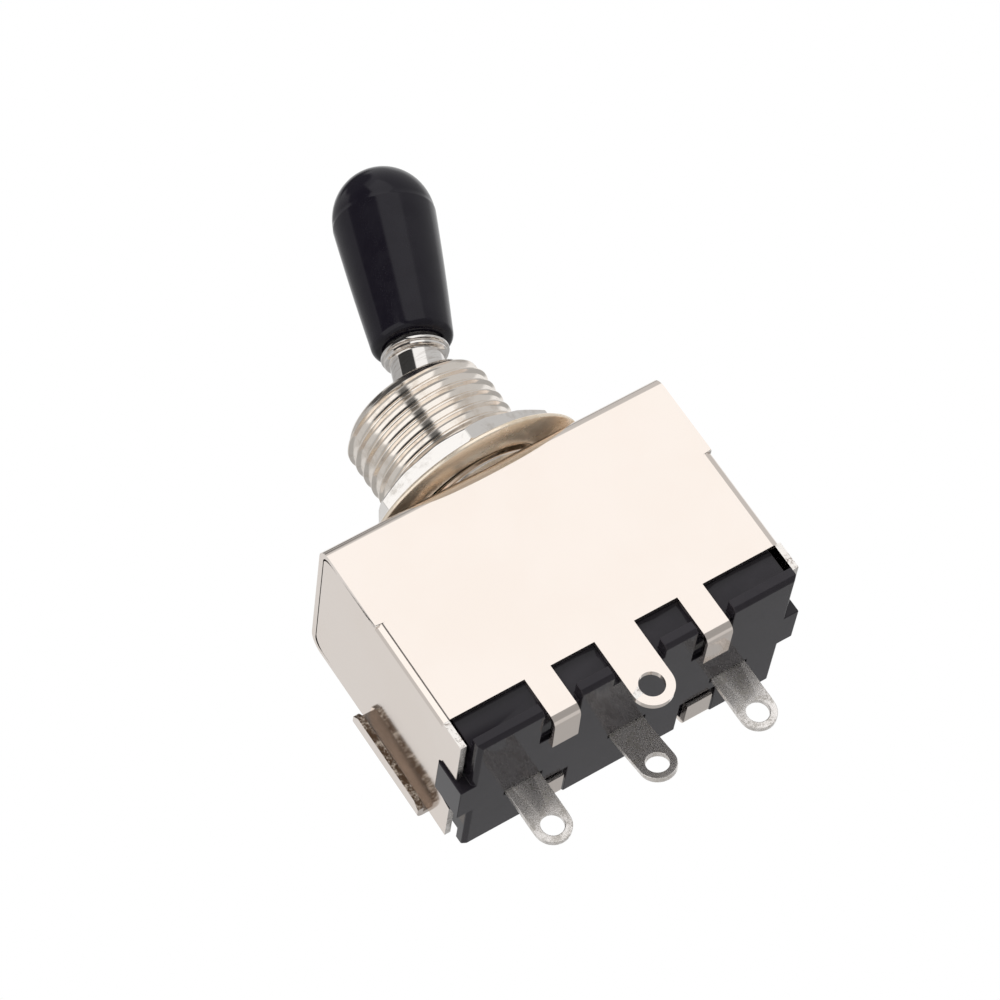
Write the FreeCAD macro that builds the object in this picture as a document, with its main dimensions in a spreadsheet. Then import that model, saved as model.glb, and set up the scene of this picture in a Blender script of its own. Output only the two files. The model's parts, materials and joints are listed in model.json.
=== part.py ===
"""Three-way toggle selector switch for an electric guitar, in millimetres.

The origin is on the axis of the threaded bushing, on the top face of the sheet
shell. +Z runs up the bushing and the lever is thrown towards +X.
"""

import FreeCAD, Part
import math
import os
import re

import Sketcher

Vector = FreeCAD.Vector

# Sizes, by sub-part: name, millimetres or degrees, meaning
SIZES = [
    # Folded sheet shell
    ("sheet", 0.5, "thickness of the shell's sheet"),
    ("shell_width", 29.0, "along X, over the side flaps"),
    ("shell_depth", 14.2, "along Y, over the front and back faces"),
    ("box_height", 19.8, "from the shell's top to the base's underside"),
    ("face_short", 3.4, "base that shows under the front and back faces"),
    ("top_bend", 1.3, "outer radius where the top folds into the faces"),
    ("side_bend", 0.75, "outer radius where the front face folds into a flap"),
    ("seam", 0.05, "gap between edges of sheet that meet"),
    ("relief_drop", 7.5, "height of the open seam above the side bend"),
    ("wing_reach", 1.75, "depth of the back face's wings over the flaps"),
    ("wing_corner", 0.6, "clipped corner of a wing"),
    ("wing_gap", 0.55, "space between a wing and its flap"),
    ("flap_short", 0.6, "from the shell's top to a flap's top edge"),
    ("slot_front", 2.05, "from the middle to the front end of a flap's slot"),
    ("slot_back", 2.25, "from the middle to the back end of a flap's slot"),
    ("slot_rise", 2.2, "height of a flap's slot"),
    # Tabs that close over the base, and the ground lug
    ("tab_place", 6.55, "from the middle to a tab"),
    ("tab_width", 2.2, "width of a tab"),
    ("tab_length", 3.5, "a front tab's reach under the base"),
    ("tab_slack", 0.2, "space between the base and a front tab"),
    ("back_tab_length", 3.15, "a back tab's reach under the base"),
    ("back_tab_rise", 0.4, "how much higher the back tabs lie"),
    ("tab_bend", 0.8, "outer radius of a tab's fold"),
    ("lug_width", 3.4, "width of the ground lug"),
    ("lug_reach", 1.5, "from the base's underside to the lug's eye"),
    ("lug_eye", 2.0, "diameter of the lug's eye"),
    # Threaded bushing
    ("thread", 12.0, "diameter over the bushing's thread"),
    ("thread_bite", 0.3, "how deep the nut's thread bites"),
    ("bushing_height", 10.2, "bushing above the shell"),
    ("bushing_lead", 0.9, "chamfer at the top of the thread"),
    ("neck_step", 0.5, "shoulder that stands on the sheet"),
    ("rim_roll", 0.3, "how far the rim is rolled out under the sheet"),
    ("rim_height", 0.6, "height of the rolled rim"),
    ("mouth_land", 1.05, "flat ring round the mouth"),
    ("lip_catch", 0.18, "how far the lip reaches over the ball"),
    ("pocket_play", 0.1, "radial play of the pocket over the ball"),
    ("seat_wall", 1.4, "thickness of the seat ring beside the ball"),
    ("seat_height", 2.9, "height of the seat ring"),
    ("seat_hole", 5.8, "hole of the seat ring under the ball"),
    ("clip_height", 0.45, "height of the groove for the circlip"),
    ("clip_groove", 0.3, "depth of the groove for the circlip"),
    ("clip_width", 0.85, "width of the circlip"),
    # Nut and washer
    ("nut_wall", 1.1, "from the thread to the nut's flats"),
    ("nut_height", 2.0, "thickness of the nut"),
    ("nut_turn", -4.4, "how far the nut is turned"),
    ("nut_chamfer", 0.55, "height of the nut's corner chamfer"),
    ("thread_play", 0.03, "radial play between nut and thread"),
    ("washer_play", 0.2, "radial play of the washer on the thread"),
    ("washer_band", 3.1, "width of the flat washer's ring"),
    ("washer_height", 0.4, "thickness of the flat washer"),
    ("washer_lift", 0.75, "space under the washer"),
    # Lever, its ball joint and its knob
    ("pivot_height", 6.5, "height of the lever's ball"),
    ("throw", 21.0, "tilt of the lever to each side"),
    ("ball", 6.4, "diameter of the lever's ball"),
    ("ball_play", 0.05, "radial play around the ball"),
    ("stem", 4.2, "diameter of the stem"),
    ("stem_length", 7.2, "from the pivot to the collar"),
    ("collar_stand", 0.55, "how far the collar stands out"),
    ("collar_height", 0.75, "height of the collar"),
    ("stud_step", 0.25, "shoulder between the stem and the knob's stud"),
    ("stud_length", 9.05, "length of the stud in the knob"),
    ("shank", 2.6, "diameter of the lever under the ball"),
    ("tip_step", 0.4, "shoulder over the tip cap"),
    ("cap_wall", 0.8, "thickness of the tip cap"),
    ("tip_reach", 13.5, "from the pivot to the middle of the tip cap"),
    ("fit", 0.05, "radial gap between parts that fit each other"),
    ("pivot_pin", 1.4, "diameter of the cross pin"),
    ("pin_play", 0.08, "play of the cross pin in its ways"),
    ("knob_gap", 0.3, "from the collar to the knob"),
    ("knob_lap", 1.1, "how far the knob's foot stands out from the stem"),
    ("knob_break", 0.4, "chamfer round the knob's foot"),
    ("knob_flare", 0.83, "how much the knob widens to its belly"),
    ("knob_length", 11.55, "from the knob's foot to its belly"),
    ("knob_crown", 4.3, "from the belly to the top of the knob"),
    # Moulded base
    ("base_play", 0.35, "space between the base and each flap"),
    ("base_height", 6.8, "height of the base"),
    ("base_wall", 1.2, "thickness of the walls"),
    ("base_floor", 2.5, "thickness of the floor"),
    ("rim_thick", 1.0, "height of the base's rim"),
    ("rim_proud", 0.8, "how far the rim stands out of the shell's faces"),
    ("edge_break", 0.3, "chamfer round the underside"),
    ("ear_proud", 0.2, "how far an ear stands out of its flap"),
    ("ear_gap", 0.2, "space round an ear in its slot"),
    ("tab_gap", 0.5, "space beside a tab"),
    ("tab_recess", 0.4, "depth of the recesses over the tabs"),
    ("recess_spare", 0.3, "how far a recess runs on past its tab"),
    # Terminals
    ("blade", 0.5, "thickness of the terminals"),
    ("tail_inset", 1.975, "from the base's wall to an outer terminal"),
    ("tail_place", 2.45, "back face of the terminals' tails"),
    ("tail_width", 2.95, "width of a tail"),
    ("eye_reach", 3.9, "from the base's underside to a terminal's eye"),
    ("eye", 1.8, "diameter of a terminal's eye"),
    ("tail_bend", 13.0, "forward bend of the middle tail"),
    ("bend_reach", 0.7, "from the base's underside to that bend"),
    ("tail_play", 0.15, "space round a tail in the floor"),
    ("rail_near", 1.2, "from the middle to a rail's near edge"),
    ("rail_width", 2.8, "width of a rail"),
    ("rail_spare", 0.56, "how far the middle rail runs on past the wiper"),
    ("rail_split", 0.5, "from the middle to an outer rail's end"),
    # Slider and contacts
    ("guide_thick", 0.6, "thickness of the guide plate"),
    ("guide_play", 0.1, "play round the guide plate and the slider"),
    ("slider_length", 8.4, "along X"),
    ("slider_relief", 0.8, "space behind the slider for the leaf spring"),
    ("post_width", 6.0, "along X, of the slider's post"),
    ("post_depth", 6.4, "along Y, of the slider's post"),
    ("post_round", 0.4, "rounding of the post's top"),
    ("socket_lip", 0.9, "post above the middle of the tip cap"),
    ("socket_play", 0.12, "play of the tip cap in its socket"),
    ("socket_spare", 0.4, "socket under the tip cap"),
    ("wiper_sheet", 0.3, "thickness of the wiper"),
    ("wiper_length", 5.2, "along X"),
    ("wiper_width", 7.2, "along Y"),
    ("foot_pitch", 3.0, "from one foot of the wiper to the next"),
    ("foot_radius", 0.5, "radius of the wiper's feet"),
    ("foot_length", 2.0, "length of a foot, along Y"),
    ("contact_play", 0.05, "space under the wiper's feet"),
    ("bow_span", 4.4, "length of the bowed spring over the wiper"),
    ("bow_rise", 0.8, "height of its bow"),
    ("bow_width", 2.0, "width of the bowed spring"),
    ("leaf", 0.2, "thickness of both leaf springs"),
    ("plunger", 1.6, "diameter of the detent's plunger"),
    ("plunger_length", 1.9, "length of the plunger"),
    ("plunger_nose", 0.5, "height of the plunger's nose"),
    ("detent_rise", 2.6, "plunger above the base's floor"),
    ("leaf_height", 2.0, "height of the detent's leaf spring"),
    ("leaf_stand", 0.35, "how far that leaf stands off the wall"),
    ("dimple", 0.3, "depth of its dimples"),
    ("dimple_width", 2.4, "width of a dimple"),
]

doc = FreeCAD.newDocument("SelectorSwitch")
sheet = doc.addObject("Spreadsheet::Sheet", "Sizes")
for row, (alias, number, meaning) in enumerate(SIZES, start=1):
    sheet.set(f"A{row}", meaning)
    sheet.set(f"B{row}", str(number))
    sheet.setAlias(f"B{row}", alias)
doc.recompute()

ALIASES = {alias for alias, _, _ in SIZES}


# Formulas, sketches and features


def formula(text):
    """Turn a formula over plain size names into one that reads the sheet."""

    def cell(match):
        word = match[0]
        return f"Sizes.{word}" if word in ALIASES else word

    return re.sub(r"[A-Za-z_]\w*", cell, str(text))


def value(text):
    """The number that a formula gives now."""
    return float(sheet.evalExpression(formula(text)))


def new_body(label):
    """A body whose label names its file."""
    body = doc.addObject("PartDesign::Body", label.title().replace("_", ""))
    body.Label = label
    return body


def datum(body, role):
    """One of the body's own origin planes."""
    return next(item for item in body.Origin.OriginFeatures if item.Role == role)


def new_sketch(body, plane, offset="0"):
    """A sketch on an origin plane, moved along that plane's normal."""
    sketch = body.newObject("Sketcher::SketchObject", "Sketch")
    sketch.AttachmentSupport = [(datum(body, plane), "")]
    sketch.MapMode = "FlatFace"
    sketch.setExpression("AttachmentOffset.Base.z", formula(offset))
    return sketch


def dimension(sketch, kind, place, text):
    """A dimension bound to a formula."""
    index = sketch.addConstraint(Sketcher.Constraint(kind, *place, value(text)))
    sketch.setExpression(f"Constraints[{index}]", formula(text))


def bulged(start, end, radius):
    """An arc from start to end; a positive radius bulges to the right."""
    chord = end - start
    side = Vector(chord.y, -chord.x, 0).normalize()
    rise = abs(radius) - math.sqrt(max(radius**2 - chord.Length**2 / 4, 0))
    return Part.Arc(start, (start + end) / 2 + side * math.copysign(rise, radius), end)


def outline(sketch, corners):
    """A closed outline. A corner is x, y or, after an arc, x, y, radius."""
    points = [Vector(value(corner[0]), value(corner[1]), 0) for corner in corners]
    first = sketch.GeometryCount
    ends = []
    for index, corner in enumerate(corners):
        start, end = points[index - 1], points[index]
        if len(corner) == 3:
            side = sketch.addGeometry(bulged(start, end, value(corner[2])), False)
            dimension(sketch, "Radius", (side,), f"abs({corner[2]})")
        else:
            side = sketch.addGeometry(Part.LineSegment(start, end), False)
        last = 2 if sketch.getPoint(side, 2).distanceToPoint(end) < 1e-6 else 1
        ends.append((3 - last, last))
        dimension(sketch, "DistanceX", (side, last), corner[0])
        dimension(sketch, "DistanceY", (side, last), corner[1])
    for index in range(len(corners)):
        following = (index + 1) % len(corners)
        joint = (first + index, ends[index][1], first + following, ends[following][0])
        sketch.addConstraint(Sketcher.Constraint("Coincident", *joint))


def rectangle(sketch, left, right, low, high):
    """A rectangle between four formulas."""
    outline(sketch, [(left, low), (right, low), (right, high), (left, high)])


def circle(sketch, x, y, diameter):
    """A circle about a point."""
    centre = Vector(value(x), value(y), 0)
    ring = Part.Circle(centre, Vector(0, 0, 1), value(diameter) / 2)
    index = sketch.addGeometry(ring, False)
    dimension(sketch, "Diameter", (index,), diameter)
    dimension(sketch, "DistanceX", (index, 3), x)
    dimension(sketch, "DistanceY", (index, 3), y)


def pad(body, sketch, length, both=False, back=False):
    """Raise a sketch along its normal, against it, or both ways."""
    feature = body.newObject("PartDesign::Pad", "Pad")
    feature.Profile = sketch
    feature.setExpression("Length", formula(length))
    feature.SideType = "Symmetric" if both else "One side"
    feature.Reversed = back
    return feature


def pocket(body, sketch, length, both=False, back=False):
    """Cut a sketch against its normal, along it, or both ways."""
    feature = body.newObject("PartDesign::Pocket", "Pocket")
    feature.Profile = sketch
    feature.setExpression("Length", formula(length))
    feature.SideType = "Symmetric" if both else "One side"
    feature.Reversed = back
    return feature


def turned(body, corners, cut=False):
    """A profile of radius and height, turned about Z."""
    sketch = new_sketch(body, "XZ_Plane")
    outline(sketch, corners)
    kind = "PartDesign::Groove" if cut else "PartDesign::Revolution"
    feature = body.newObject(kind, "Turned")
    feature.Profile = sketch
    feature.ReferenceAxis = (sketch, ["V_Axis"])
    feature.Angle = 360
    return feature


def mirrored(body, features, plane="YZ_Plane"):
    """The same features on the other side of an origin plane."""
    feature = body.newObject("PartDesign::Mirrored", "Mirrored")
    feature.Originals = features
    feature.MirrorPlane = (datum(body, plane), [""])
    body.Tip = feature
    return feature


def broken_edges(body, kind, size, chosen):
    """Round or chamfer the edges whose middle passes a test."""
    doc.recompute()
    base = body.Tip
    names = [
        f"Edge{index}"
        for index, edge in enumerate(base.Shape.Edges, start=1)
        if chosen(edge.CenterOfMass)
    ]
    feature = body.newObject(f"PartDesign::{kind}", kind)
    feature.Base = (base, names)
    feature.setExpression("Radius" if kind == "Fillet" else "Size", formula(size))
    return feature


def tilt_about_pivot(body):
    """Put a body that is drawn from the pivot in the lever's thrown place."""
    body.Placement = FreeCAD.Placement(Vector(), FreeCAD.Rotation(Vector(0, 1, 0), 1))
    body.setExpression("Placement.Base.z", formula("pivot_height"))
    body.setExpression("Placement.Rotation.Angle", formula("throw * 1 deg"))


def slide_with_tip(body):
    """Put a body that is drawn about the middle where the lever's tip holds it."""
    body.setExpression("Placement.Base.x", formula(f"-({TIP_TRAVEL})"))


# Places that several sub-parts share
FRONT = "shell_depth / 2"
FACE_INSIDE = "(shell_depth / 2 - sheet)"
FLAP_INSIDE = "(shell_width / 2 - sheet)"
FACE_HALF = "(shell_width / 2 - sheet - seam)"
FACE_DROP = "(box_height - face_short)"
FLAP_DROP = "(box_height - rim_thick)"
NECK = "(thread - 2 * neck_step)"
ENGAGED = "(thread - 2 * thread_bite)"
NUT_TOP = "(washer_lift + washer_height + nut_height)"
POCKET = "(ball / 2 + pocket_play)"
SEAT_BORE = "(ball + 2 * seat_wall)"
SEAT_TOP = "(pivot_height - pivot_pin / 2)"
SEAT_FOOT = f"({SEAT_TOP} - seat_height)"
KNOB_FOOT = "(stem_length + collar_height + knob_gap)"
STUD = "(stem - 2 * stud_step)"
STUD_END = f"({KNOB_FOOT} + stud_length)"
TIP_PIN = "(shank - 2 * tip_step)"
TIP = f"({TIP_PIN} + 2 * cap_wall)"
TIP_TRAVEL = "tip_reach * sin(throw * 1 deg)"
BASE_HALF = f"({FLAP_INSIDE} - base_play)"
BASE_SIDE = f"({FACE_INSIDE} - guide_play)"
BASE_TOP = "(base_height - box_height)"
FLOOR_TOP = "(base_floor - box_height)"
WALL_INSIDE = f"({BASE_SIDE} - base_wall)"
TAIL_PITCH = f"({BASE_HALF} - base_wall - tail_inset - tail_width / 2)"
RAIL_TOP = f"({FLOOR_TOP} + blade)"
RAIL_FAR = "(rail_near + rail_width)"
WIPER_FOOT = f"({RAIL_TOP} + contact_play)"
WIPER_UNDER = f"({WIPER_FOOT} + foot_radius)"
SLIDER_UNDER = f"({WIPER_UNDER} + wiper_sheet)"
SLIDER_BACK = f"({WALL_INSIDE} - guide_play - slider_relief)"
POST_TOP = "(pivot_height - tip_reach * cos(throw * 1 deg) + socket_lip)"
DETENT_HEIGHT = f"({FLOOR_TOP} + detent_rise)"


# Shell


def back_wing(body):
    """The narrow wing of the back face that folds over the right-hand flap."""
    corner = new_sketch(body, "XY_Plane", "-relief_drop")
    outline(
        corner,
        [
            (f"{FACE_HALF} - sheet", FACE_INSIDE),
            ("shell_width / 2 + wing_gap", FACE_INSIDE),
            ("shell_width / 2 + wing_gap", f"{FACE_INSIDE} - sheet / 2"),
            ("shell_width / 2 + wing_gap + sheet", f"{FACE_INSIDE} - sheet / 2"),
            ("shell_width / 2 + wing_gap + sheet", FACE_INSIDE),
            ("shell_width / 2 + wing_gap", FRONT, "sheet"),
            (f"{FACE_HALF} - sheet", FRONT),
        ],
    )
    fold = pad(body, corner, f"{FACE_DROP} - relief_drop", back=True)
    sketch = new_sketch(body, "YZ_Plane", "shell_width / 2 + wing_gap")
    outline(
        sketch,
        [
            (FACE_INSIDE, "-relief_drop"),
            (f"{FRONT} - wing_reach + wing_corner", "-relief_drop"),
            (f"{FRONT} - wing_reach", "-relief_drop - wing_corner"),
            (f"{FRONT} - wing_reach", f"-{FACE_DROP} + wing_corner"),
            (f"{FRONT} - wing_reach + wing_corner", f"-{FACE_DROP}"),
            (FACE_INSIDE, f"-{FACE_DROP}"),
        ],
    )
    return [fold, pad(body, sketch, "sheet")]


def closing_tab(body, face, length, foot):
    """A tab that hangs from a face and is folded under the base."""
    sketch = new_sketch(body, "YZ_Plane", "tab_place")
    sign = "-1" if face == "front" else "1"
    turn = "" if face == "front" else "-"
    outer = f"{sign} * ({FRONT})"
    inner = f"{sign} * ({FACE_INSIDE})"
    outline(
        sketch,
        [
            (inner, f"-{FACE_DROP} + sheet"),
            (outer, f"-{FACE_DROP} + sheet"),
            (outer, f"{foot} + tab_bend"),
            (f"{sign} * ({FRONT} - tab_bend)", foot, f"{turn}tab_bend"),
            (f"{sign} * ({FRONT} - {length})", foot),
            (f"{sign} * ({FRONT} - {length})", f"{foot} + sheet"),
            (f"{sign} * ({FRONT} - tab_bend)", f"{foot} + sheet"),
            (inner, f"{foot} + tab_bend", f"-({turn}(tab_bend - sheet))"),
        ],
    )
    return pad(body, sketch, "tab_width", both=True)


def ground_lug(body):
    """The straight lug in the middle of the front face, with its eye."""
    sketch = new_sketch(body, "XZ_Plane", FACE_INSIDE)
    eye = "-(box_height + lug_reach)"
    outline(
        sketch,
        [
            ("lug_width / 2", f"-{FACE_DROP} + sheet"),
            ("-lug_width / 2", f"-{FACE_DROP} + sheet"),
            ("-lug_width / 2", eye),
            ("0", f"{eye} - lug_width / 2", "lug_width / 2"),
            ("lug_width / 2", eye, "lug_width / 2"),
        ],
    )
    circle(sketch, "0", eye, "lug_eye")
    return pad(body, sketch, "sheet")


def make_shell():
    """The top of the folded strip, down to the ends of its two folds."""
    body = new_body("shell")
    sketch = new_sketch(body, "YZ_Plane")
    outline(
        sketch,
        [
            (f"-({FRONT})", "-top_bend", "top_bend"),
            (f"-({FACE_INSIDE})", "-top_bend"),
            (f"-({FRONT}) + top_bend", "-sheet", "-(top_bend - sheet)"),
            (f"{FRONT} - top_bend", "-sheet"),
            (f"{FACE_INSIDE}", "-top_bend", "-(top_bend - sheet)"),
            (f"{FRONT}", "-top_bend"),
            (f"{FRONT} - top_bend", "0", "top_bend"),
            (f"-({FRONT}) + top_bend", "0"),
        ],
    )
    pad(body, sketch, f"2 * ({FACE_HALF})", both=True)
    hole = new_sketch(body, "XY_Plane")
    circle(hole, "0", "0", f"{NECK} + 2 * fit")
    pocket(body, hole, "sheet")
    return body


def make_front_face():
    """The front face under the fold, with its two tabs and the ground lug."""
    body = new_body("front_face")
    sketch = new_sketch(body, "XZ_Plane", FACE_INSIDE)
    fold = "(shell_width / 2 - side_bend)"
    outline(
        sketch,
        [
            (FACE_HALF, "-top_bend"),
            (f"-{FACE_HALF}", "-top_bend"),
            (f"-{FACE_HALF}", "-relief_drop"),
            (f"-{fold}", "-relief_drop"),
            (f"-{fold}", f"-{FACE_DROP}"),
            (fold, f"-{FACE_DROP}"),
            (fold, "-relief_drop"),
            (FACE_HALF, "-relief_drop"),
        ],
    )
    pad(body, sketch, "sheet")
    foot = "-box_height - tab_slack - sheet"
    mirrored(body, [closing_tab(body, "front", "tab_length", foot)])
    ground_lug(body)
    return body


def make_back_face():
    """The back face under the fold, with its two tabs and its two wings."""
    body = new_body("back_face")
    sketch = new_sketch(body, "XZ_Plane", f"-({FRONT})")
    half = "shell_width / 2"
    rectangle(sketch, f"-{half}", half, f"-{FACE_DROP}", "-top_bend")
    pad(body, sketch, "sheet")
    mirrored(body, back_wing(body))
    foot = "-box_height - tab_slack - sheet + back_tab_rise"
    mirrored(body, [closing_tab(body, "back", "back_tab_length", foot)])
    return body


def make_flap(label, side):
    """A side wall, from the start of the fold that joins it to the front face."""
    body = new_body(label)
    start = f"{side} * (shell_width / 2 - side_bend)"
    outside, inside = f"{side} * (shell_width / 2)", f"{side} * {FLAP_INSIDE}"
    bend = new_sketch(body, "XY_Plane", "-relief_drop")
    outline(
        bend,
        [
            (start, f"-({FRONT})"),
            (outside, f"-({FRONT}) + side_bend", f"{side} * side_bend"),
            (outside, f"-({FRONT}) + 2 * side_bend"),
            (inside, f"-({FRONT}) + 2 * side_bend"),
            (inside, f"-({FRONT}) + side_bend"),
            (start, f"-({FACE_INSIDE})", f"({side}) * (sheet - side_bend)"),
        ],
    )
    pad(body, bend, f"{FACE_DROP} - relief_drop", back=True)
    wall = new_sketch(body, "YZ_Plane", FLAP_INSIDE if side > 0 else "-shell_width / 2")
    front = f"-({FRONT}) + seam"
    rear = f"{FACE_INSIDE} - seam"
    bend_end = f"-({FRONT}) + side_bend"
    outline(
        wall,
        [
            (f"{front} + top_bend", "-flap_short"),
            (front, "-flap_short - top_bend", "top_bend"),
            (front, "-relief_drop"),
            (bend_end, "-relief_drop"),
            (bend_end, f"-{FACE_DROP}"),
            (f"{front}", f"-{FACE_DROP}"),
            (f"{front}", f"-{FLAP_DROP} + seam"),
            ("-slot_front", f"-{FLAP_DROP}"),
            ("-slot_front", f"-{FLAP_DROP} + slot_rise - sheet"),
            ("-slot_front + sheet", f"-{FLAP_DROP} + slot_rise", "-sheet"),
            ("slot_back", f"-{FLAP_DROP} + slot_rise"),
            ("slot_back", f"-{FLAP_DROP}"),
            (rear, f"-{FLAP_DROP}"),
            (rear, "-flap_short - top_bend"),
            (f"{rear} - top_bend", "-flap_short", "top_bend"),
        ],
    )
    pad(body, wall, "sheet")
    return body


# Bushing, nut and washer


def make_bushing():
    body = new_body("bushing")
    clip_outside = f"{SEAT_BORE} / 2 + clip_groove"
    lip = "(ball / 2 - lip_catch)"
    lip_rise = f"sqrt({POCKET}^2 - {lip}^2)"
    turned(
        body,
        [
            (f"{SEAT_BORE} / 2", "-sheet - rim_height"),
            (f"{NECK} / 2 + rim_roll", "-sheet - rim_height"),
            (f"{NECK} / 2 + rim_roll", "-sheet"),
            (f"{NECK} / 2", "-sheet"),
            (f"{NECK} / 2", "0"),
            (f"{ENGAGED} / 2", "0"),
            (f"{ENGAGED} / 2", f"{NUT_TOP} + 2 * fit"),
            ("thread / 2", f"{NUT_TOP} + 2 * fit"),
            ("thread / 2", "bushing_height - bushing_lead"),
            ("thread / 2 - bushing_lead", "bushing_height"),
            ("thread / 2 - bushing_lead - mouth_land", "bushing_height"),
            (lip, f"pivot_height + {lip_rise}"),
            (POCKET, f"pivot_height + {lip_rise} - ({POCKET} - {lip}) * {lip} / {lip_rise}"),
            (POCKET, SEAT_TOP),
            (f"{SEAT_BORE} / 2", SEAT_TOP),
            (f"{SEAT_BORE} / 2", SEAT_FOOT),
            (clip_outside, SEAT_FOOT),
            (clip_outside, f"{SEAT_FOOT} - clip_height"),
            (f"{SEAT_BORE} / 2", f"{SEAT_FOOT} - clip_height"),
        ],
    )
    ways = new_sketch(body, "YZ_Plane")
    top = "pivot_height + pivot_pin / 2 + pin_play"
    rectangle(ways, f"-{SEAT_BORE} / 2", f"{SEAT_BORE} / 2", SEAT_TOP, top)
    pocket(body, ways, "pivot_pin + 2 * pin_play", both=True)
    return body


def make_seat_ring():
    body = new_body("seat_ring")
    hole = "(seat_hole / 2)"
    drop = f"sqrt((ball / 2 + ball_play)^2 - {hole}^2)"
    mouth = f"{hole} + ({drop} - pivot_pin / 2 - fit) * {drop} / {hole}"
    turned(
        body,
        [
            (f"{SEAT_BORE} / 2 - fit", SEAT_FOOT),
            (f"{SEAT_BORE} / 2 - fit", f"{SEAT_TOP} - fit"),
            (mouth, f"{SEAT_TOP} - fit"),
            (hole, f"pivot_height - {drop}"),
            (hole, SEAT_FOOT),
        ],
    )
    return body


def make_circlip():
    body = new_body("circlip")
    outside = f"{SEAT_BORE} + 2 * (clip_groove - fit)"
    sketch = new_sketch(body, "XY_Plane", f"{SEAT_FOOT} - fit")
    circle(sketch, "0", "0", outside)
    circle(sketch, "0", "0", f"{outside} - 2 * clip_width")
    pad(body, sketch, "clip_height - 2 * fit", back=True)
    gap = new_sketch(body, "XY_Plane", SEAT_FOOT)
    rectangle(gap, "-clip_width", "clip_width", "0", outside)
    pocket(body, gap, "2 * clip_height")
    return body


def make_hex_nut():
    body = new_body("hex_nut")
    foot = "washer_lift + washer_height"
    corner = "((thread / 2 + nut_wall) / cos(30 * 1 deg))"
    sketch = new_sketch(body, "XY_Plane", foot)
    outline(
        sketch,
        [
            (f"{corner} * cos({angle} * 1 deg)", f"{corner} * sin({angle} * 1 deg)")
            for angle in range(30, 390, 60)
        ],
    )
    circle(sketch, "0", "0", f"{ENGAGED} + 2 * thread_play")
    pad(body, sketch, "nut_height")
    for face, inward in ((foot, "+"), (NUT_TOP, "-")):
        turned(
            body,
            [
                (f"{corner} - nut_chamfer / tan(30 * 1 deg)", face),
                (f"{corner} + nut_chamfer", face),
                (f"{corner} + nut_chamfer", f"{face} {inward} nut_chamfer"),
                (corner, f"{face} {inward} nut_chamfer"),
            ],
            cut=True,
        )
    body.setExpression("Placement.Rotation.Angle", formula("nut_turn * 1 deg"))
    return body


def make_flat_washer():
    body = new_body("flat_washer")
    sketch = new_sketch(body, "XY_Plane", "washer_lift")
    circle(sketch, "0", "0", "thread + 2 * washer_play")
    circle(sketch, "0", "0", "thread + 2 * washer_play + 2 * washer_band")
    pad(body, sketch, "washer_height")
    return body


# Lever


def make_lever():
    body = new_body("lever")
    collar = "stem / 2 + collar_stand"
    collar_top = "stem_length + collar_height"
    pin_end = f"-tip_reach - {TIP} / 4"
    shoulder = f"-tip_reach + {TIP} / 2"
    turned(
        body,
        [
            ("0", pin_end),
            (f"{TIP_PIN} / 2", pin_end),
            (f"{TIP_PIN} / 2", shoulder),
            ("shank / 2", shoulder),
            ("shank / 2", "-sqrt((ball / 2)^2 - (stem / 2)^2)"),
            ("stem / 2", "-sqrt((ball / 2)^2 - (stem / 2)^2)"),
            ("stem / 2", "sqrt((ball / 2)^2 - (stem / 2)^2)", "ball / 2"),
            ("stem / 2", "stem_length"),
            (collar, "stem_length + collar_height / 5"),
            (collar, f"{collar_top} - collar_height / 5"),
            ("stem / 2", collar_top),
            ("stem / 2", KNOB_FOOT),
            (f"{STUD} / 2", KNOB_FOOT),
            (f"{STUD} / 2", STUD_END),
            ("0", STUD_END),
        ],
    )
    hole = new_sketch(body, "XZ_Plane")
    circle(hole, "0", "0", "pivot_pin + fit")
    pocket(body, hole, "2 * ball", both=True)
    tilt_about_pivot(body)
    return body


def make_pivot_pin():
    body = new_body("pivot_pin")
    sketch = new_sketch(body, "XZ_Plane")
    circle(sketch, "0", "0", "pivot_pin")
    pad(body, sketch, f"{SEAT_BORE} - 2 * pin_play", both=True)
    tilt_about_pivot(body)
    return body


def make_knob():
    body = new_body("knob")
    foot = "stem / 2 + knob_lap"
    belly = f"({foot} + knob_flare)"
    crown = f"(knob_crown^2 + {belly}^2) / (2 * knob_crown)"
    bore = f"{STUD} / 2 + fit"
    turned(
        body,
        [
            (bore, KNOB_FOOT),
            (f"{foot} - knob_break", KNOB_FOOT),
            (foot, f"{KNOB_FOOT} + knob_break"),
            (belly, f"{KNOB_FOOT} + knob_length"),
            ("0", f"{KNOB_FOOT} + knob_length + knob_crown", crown),
            ("0", f"{STUD_END} + fit"),
            (bore, f"{STUD_END} + fit"),
        ],
    )
    tilt_about_pivot(body)
    return body


def make_tip_cap():
    """A cross roller on the end of the lever, for the slider's socket."""
    body = new_body("tip_cap")
    roller = new_sketch(body, "XZ_Plane")
    circle(roller, "0", "-tip_reach", TIP)
    pad(body, roller, TIP, both=True)
    bore = new_sketch(body, "XY_Plane", f"-tip_reach + {TIP} / 2")
    circle(bore, "0", "0", f"{TIP_PIN} + 2 * fit")
    pocket(body, bore, f"3 * {TIP} / 4 + fit")
    tilt_about_pivot(body)
    return body


# Base


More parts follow.
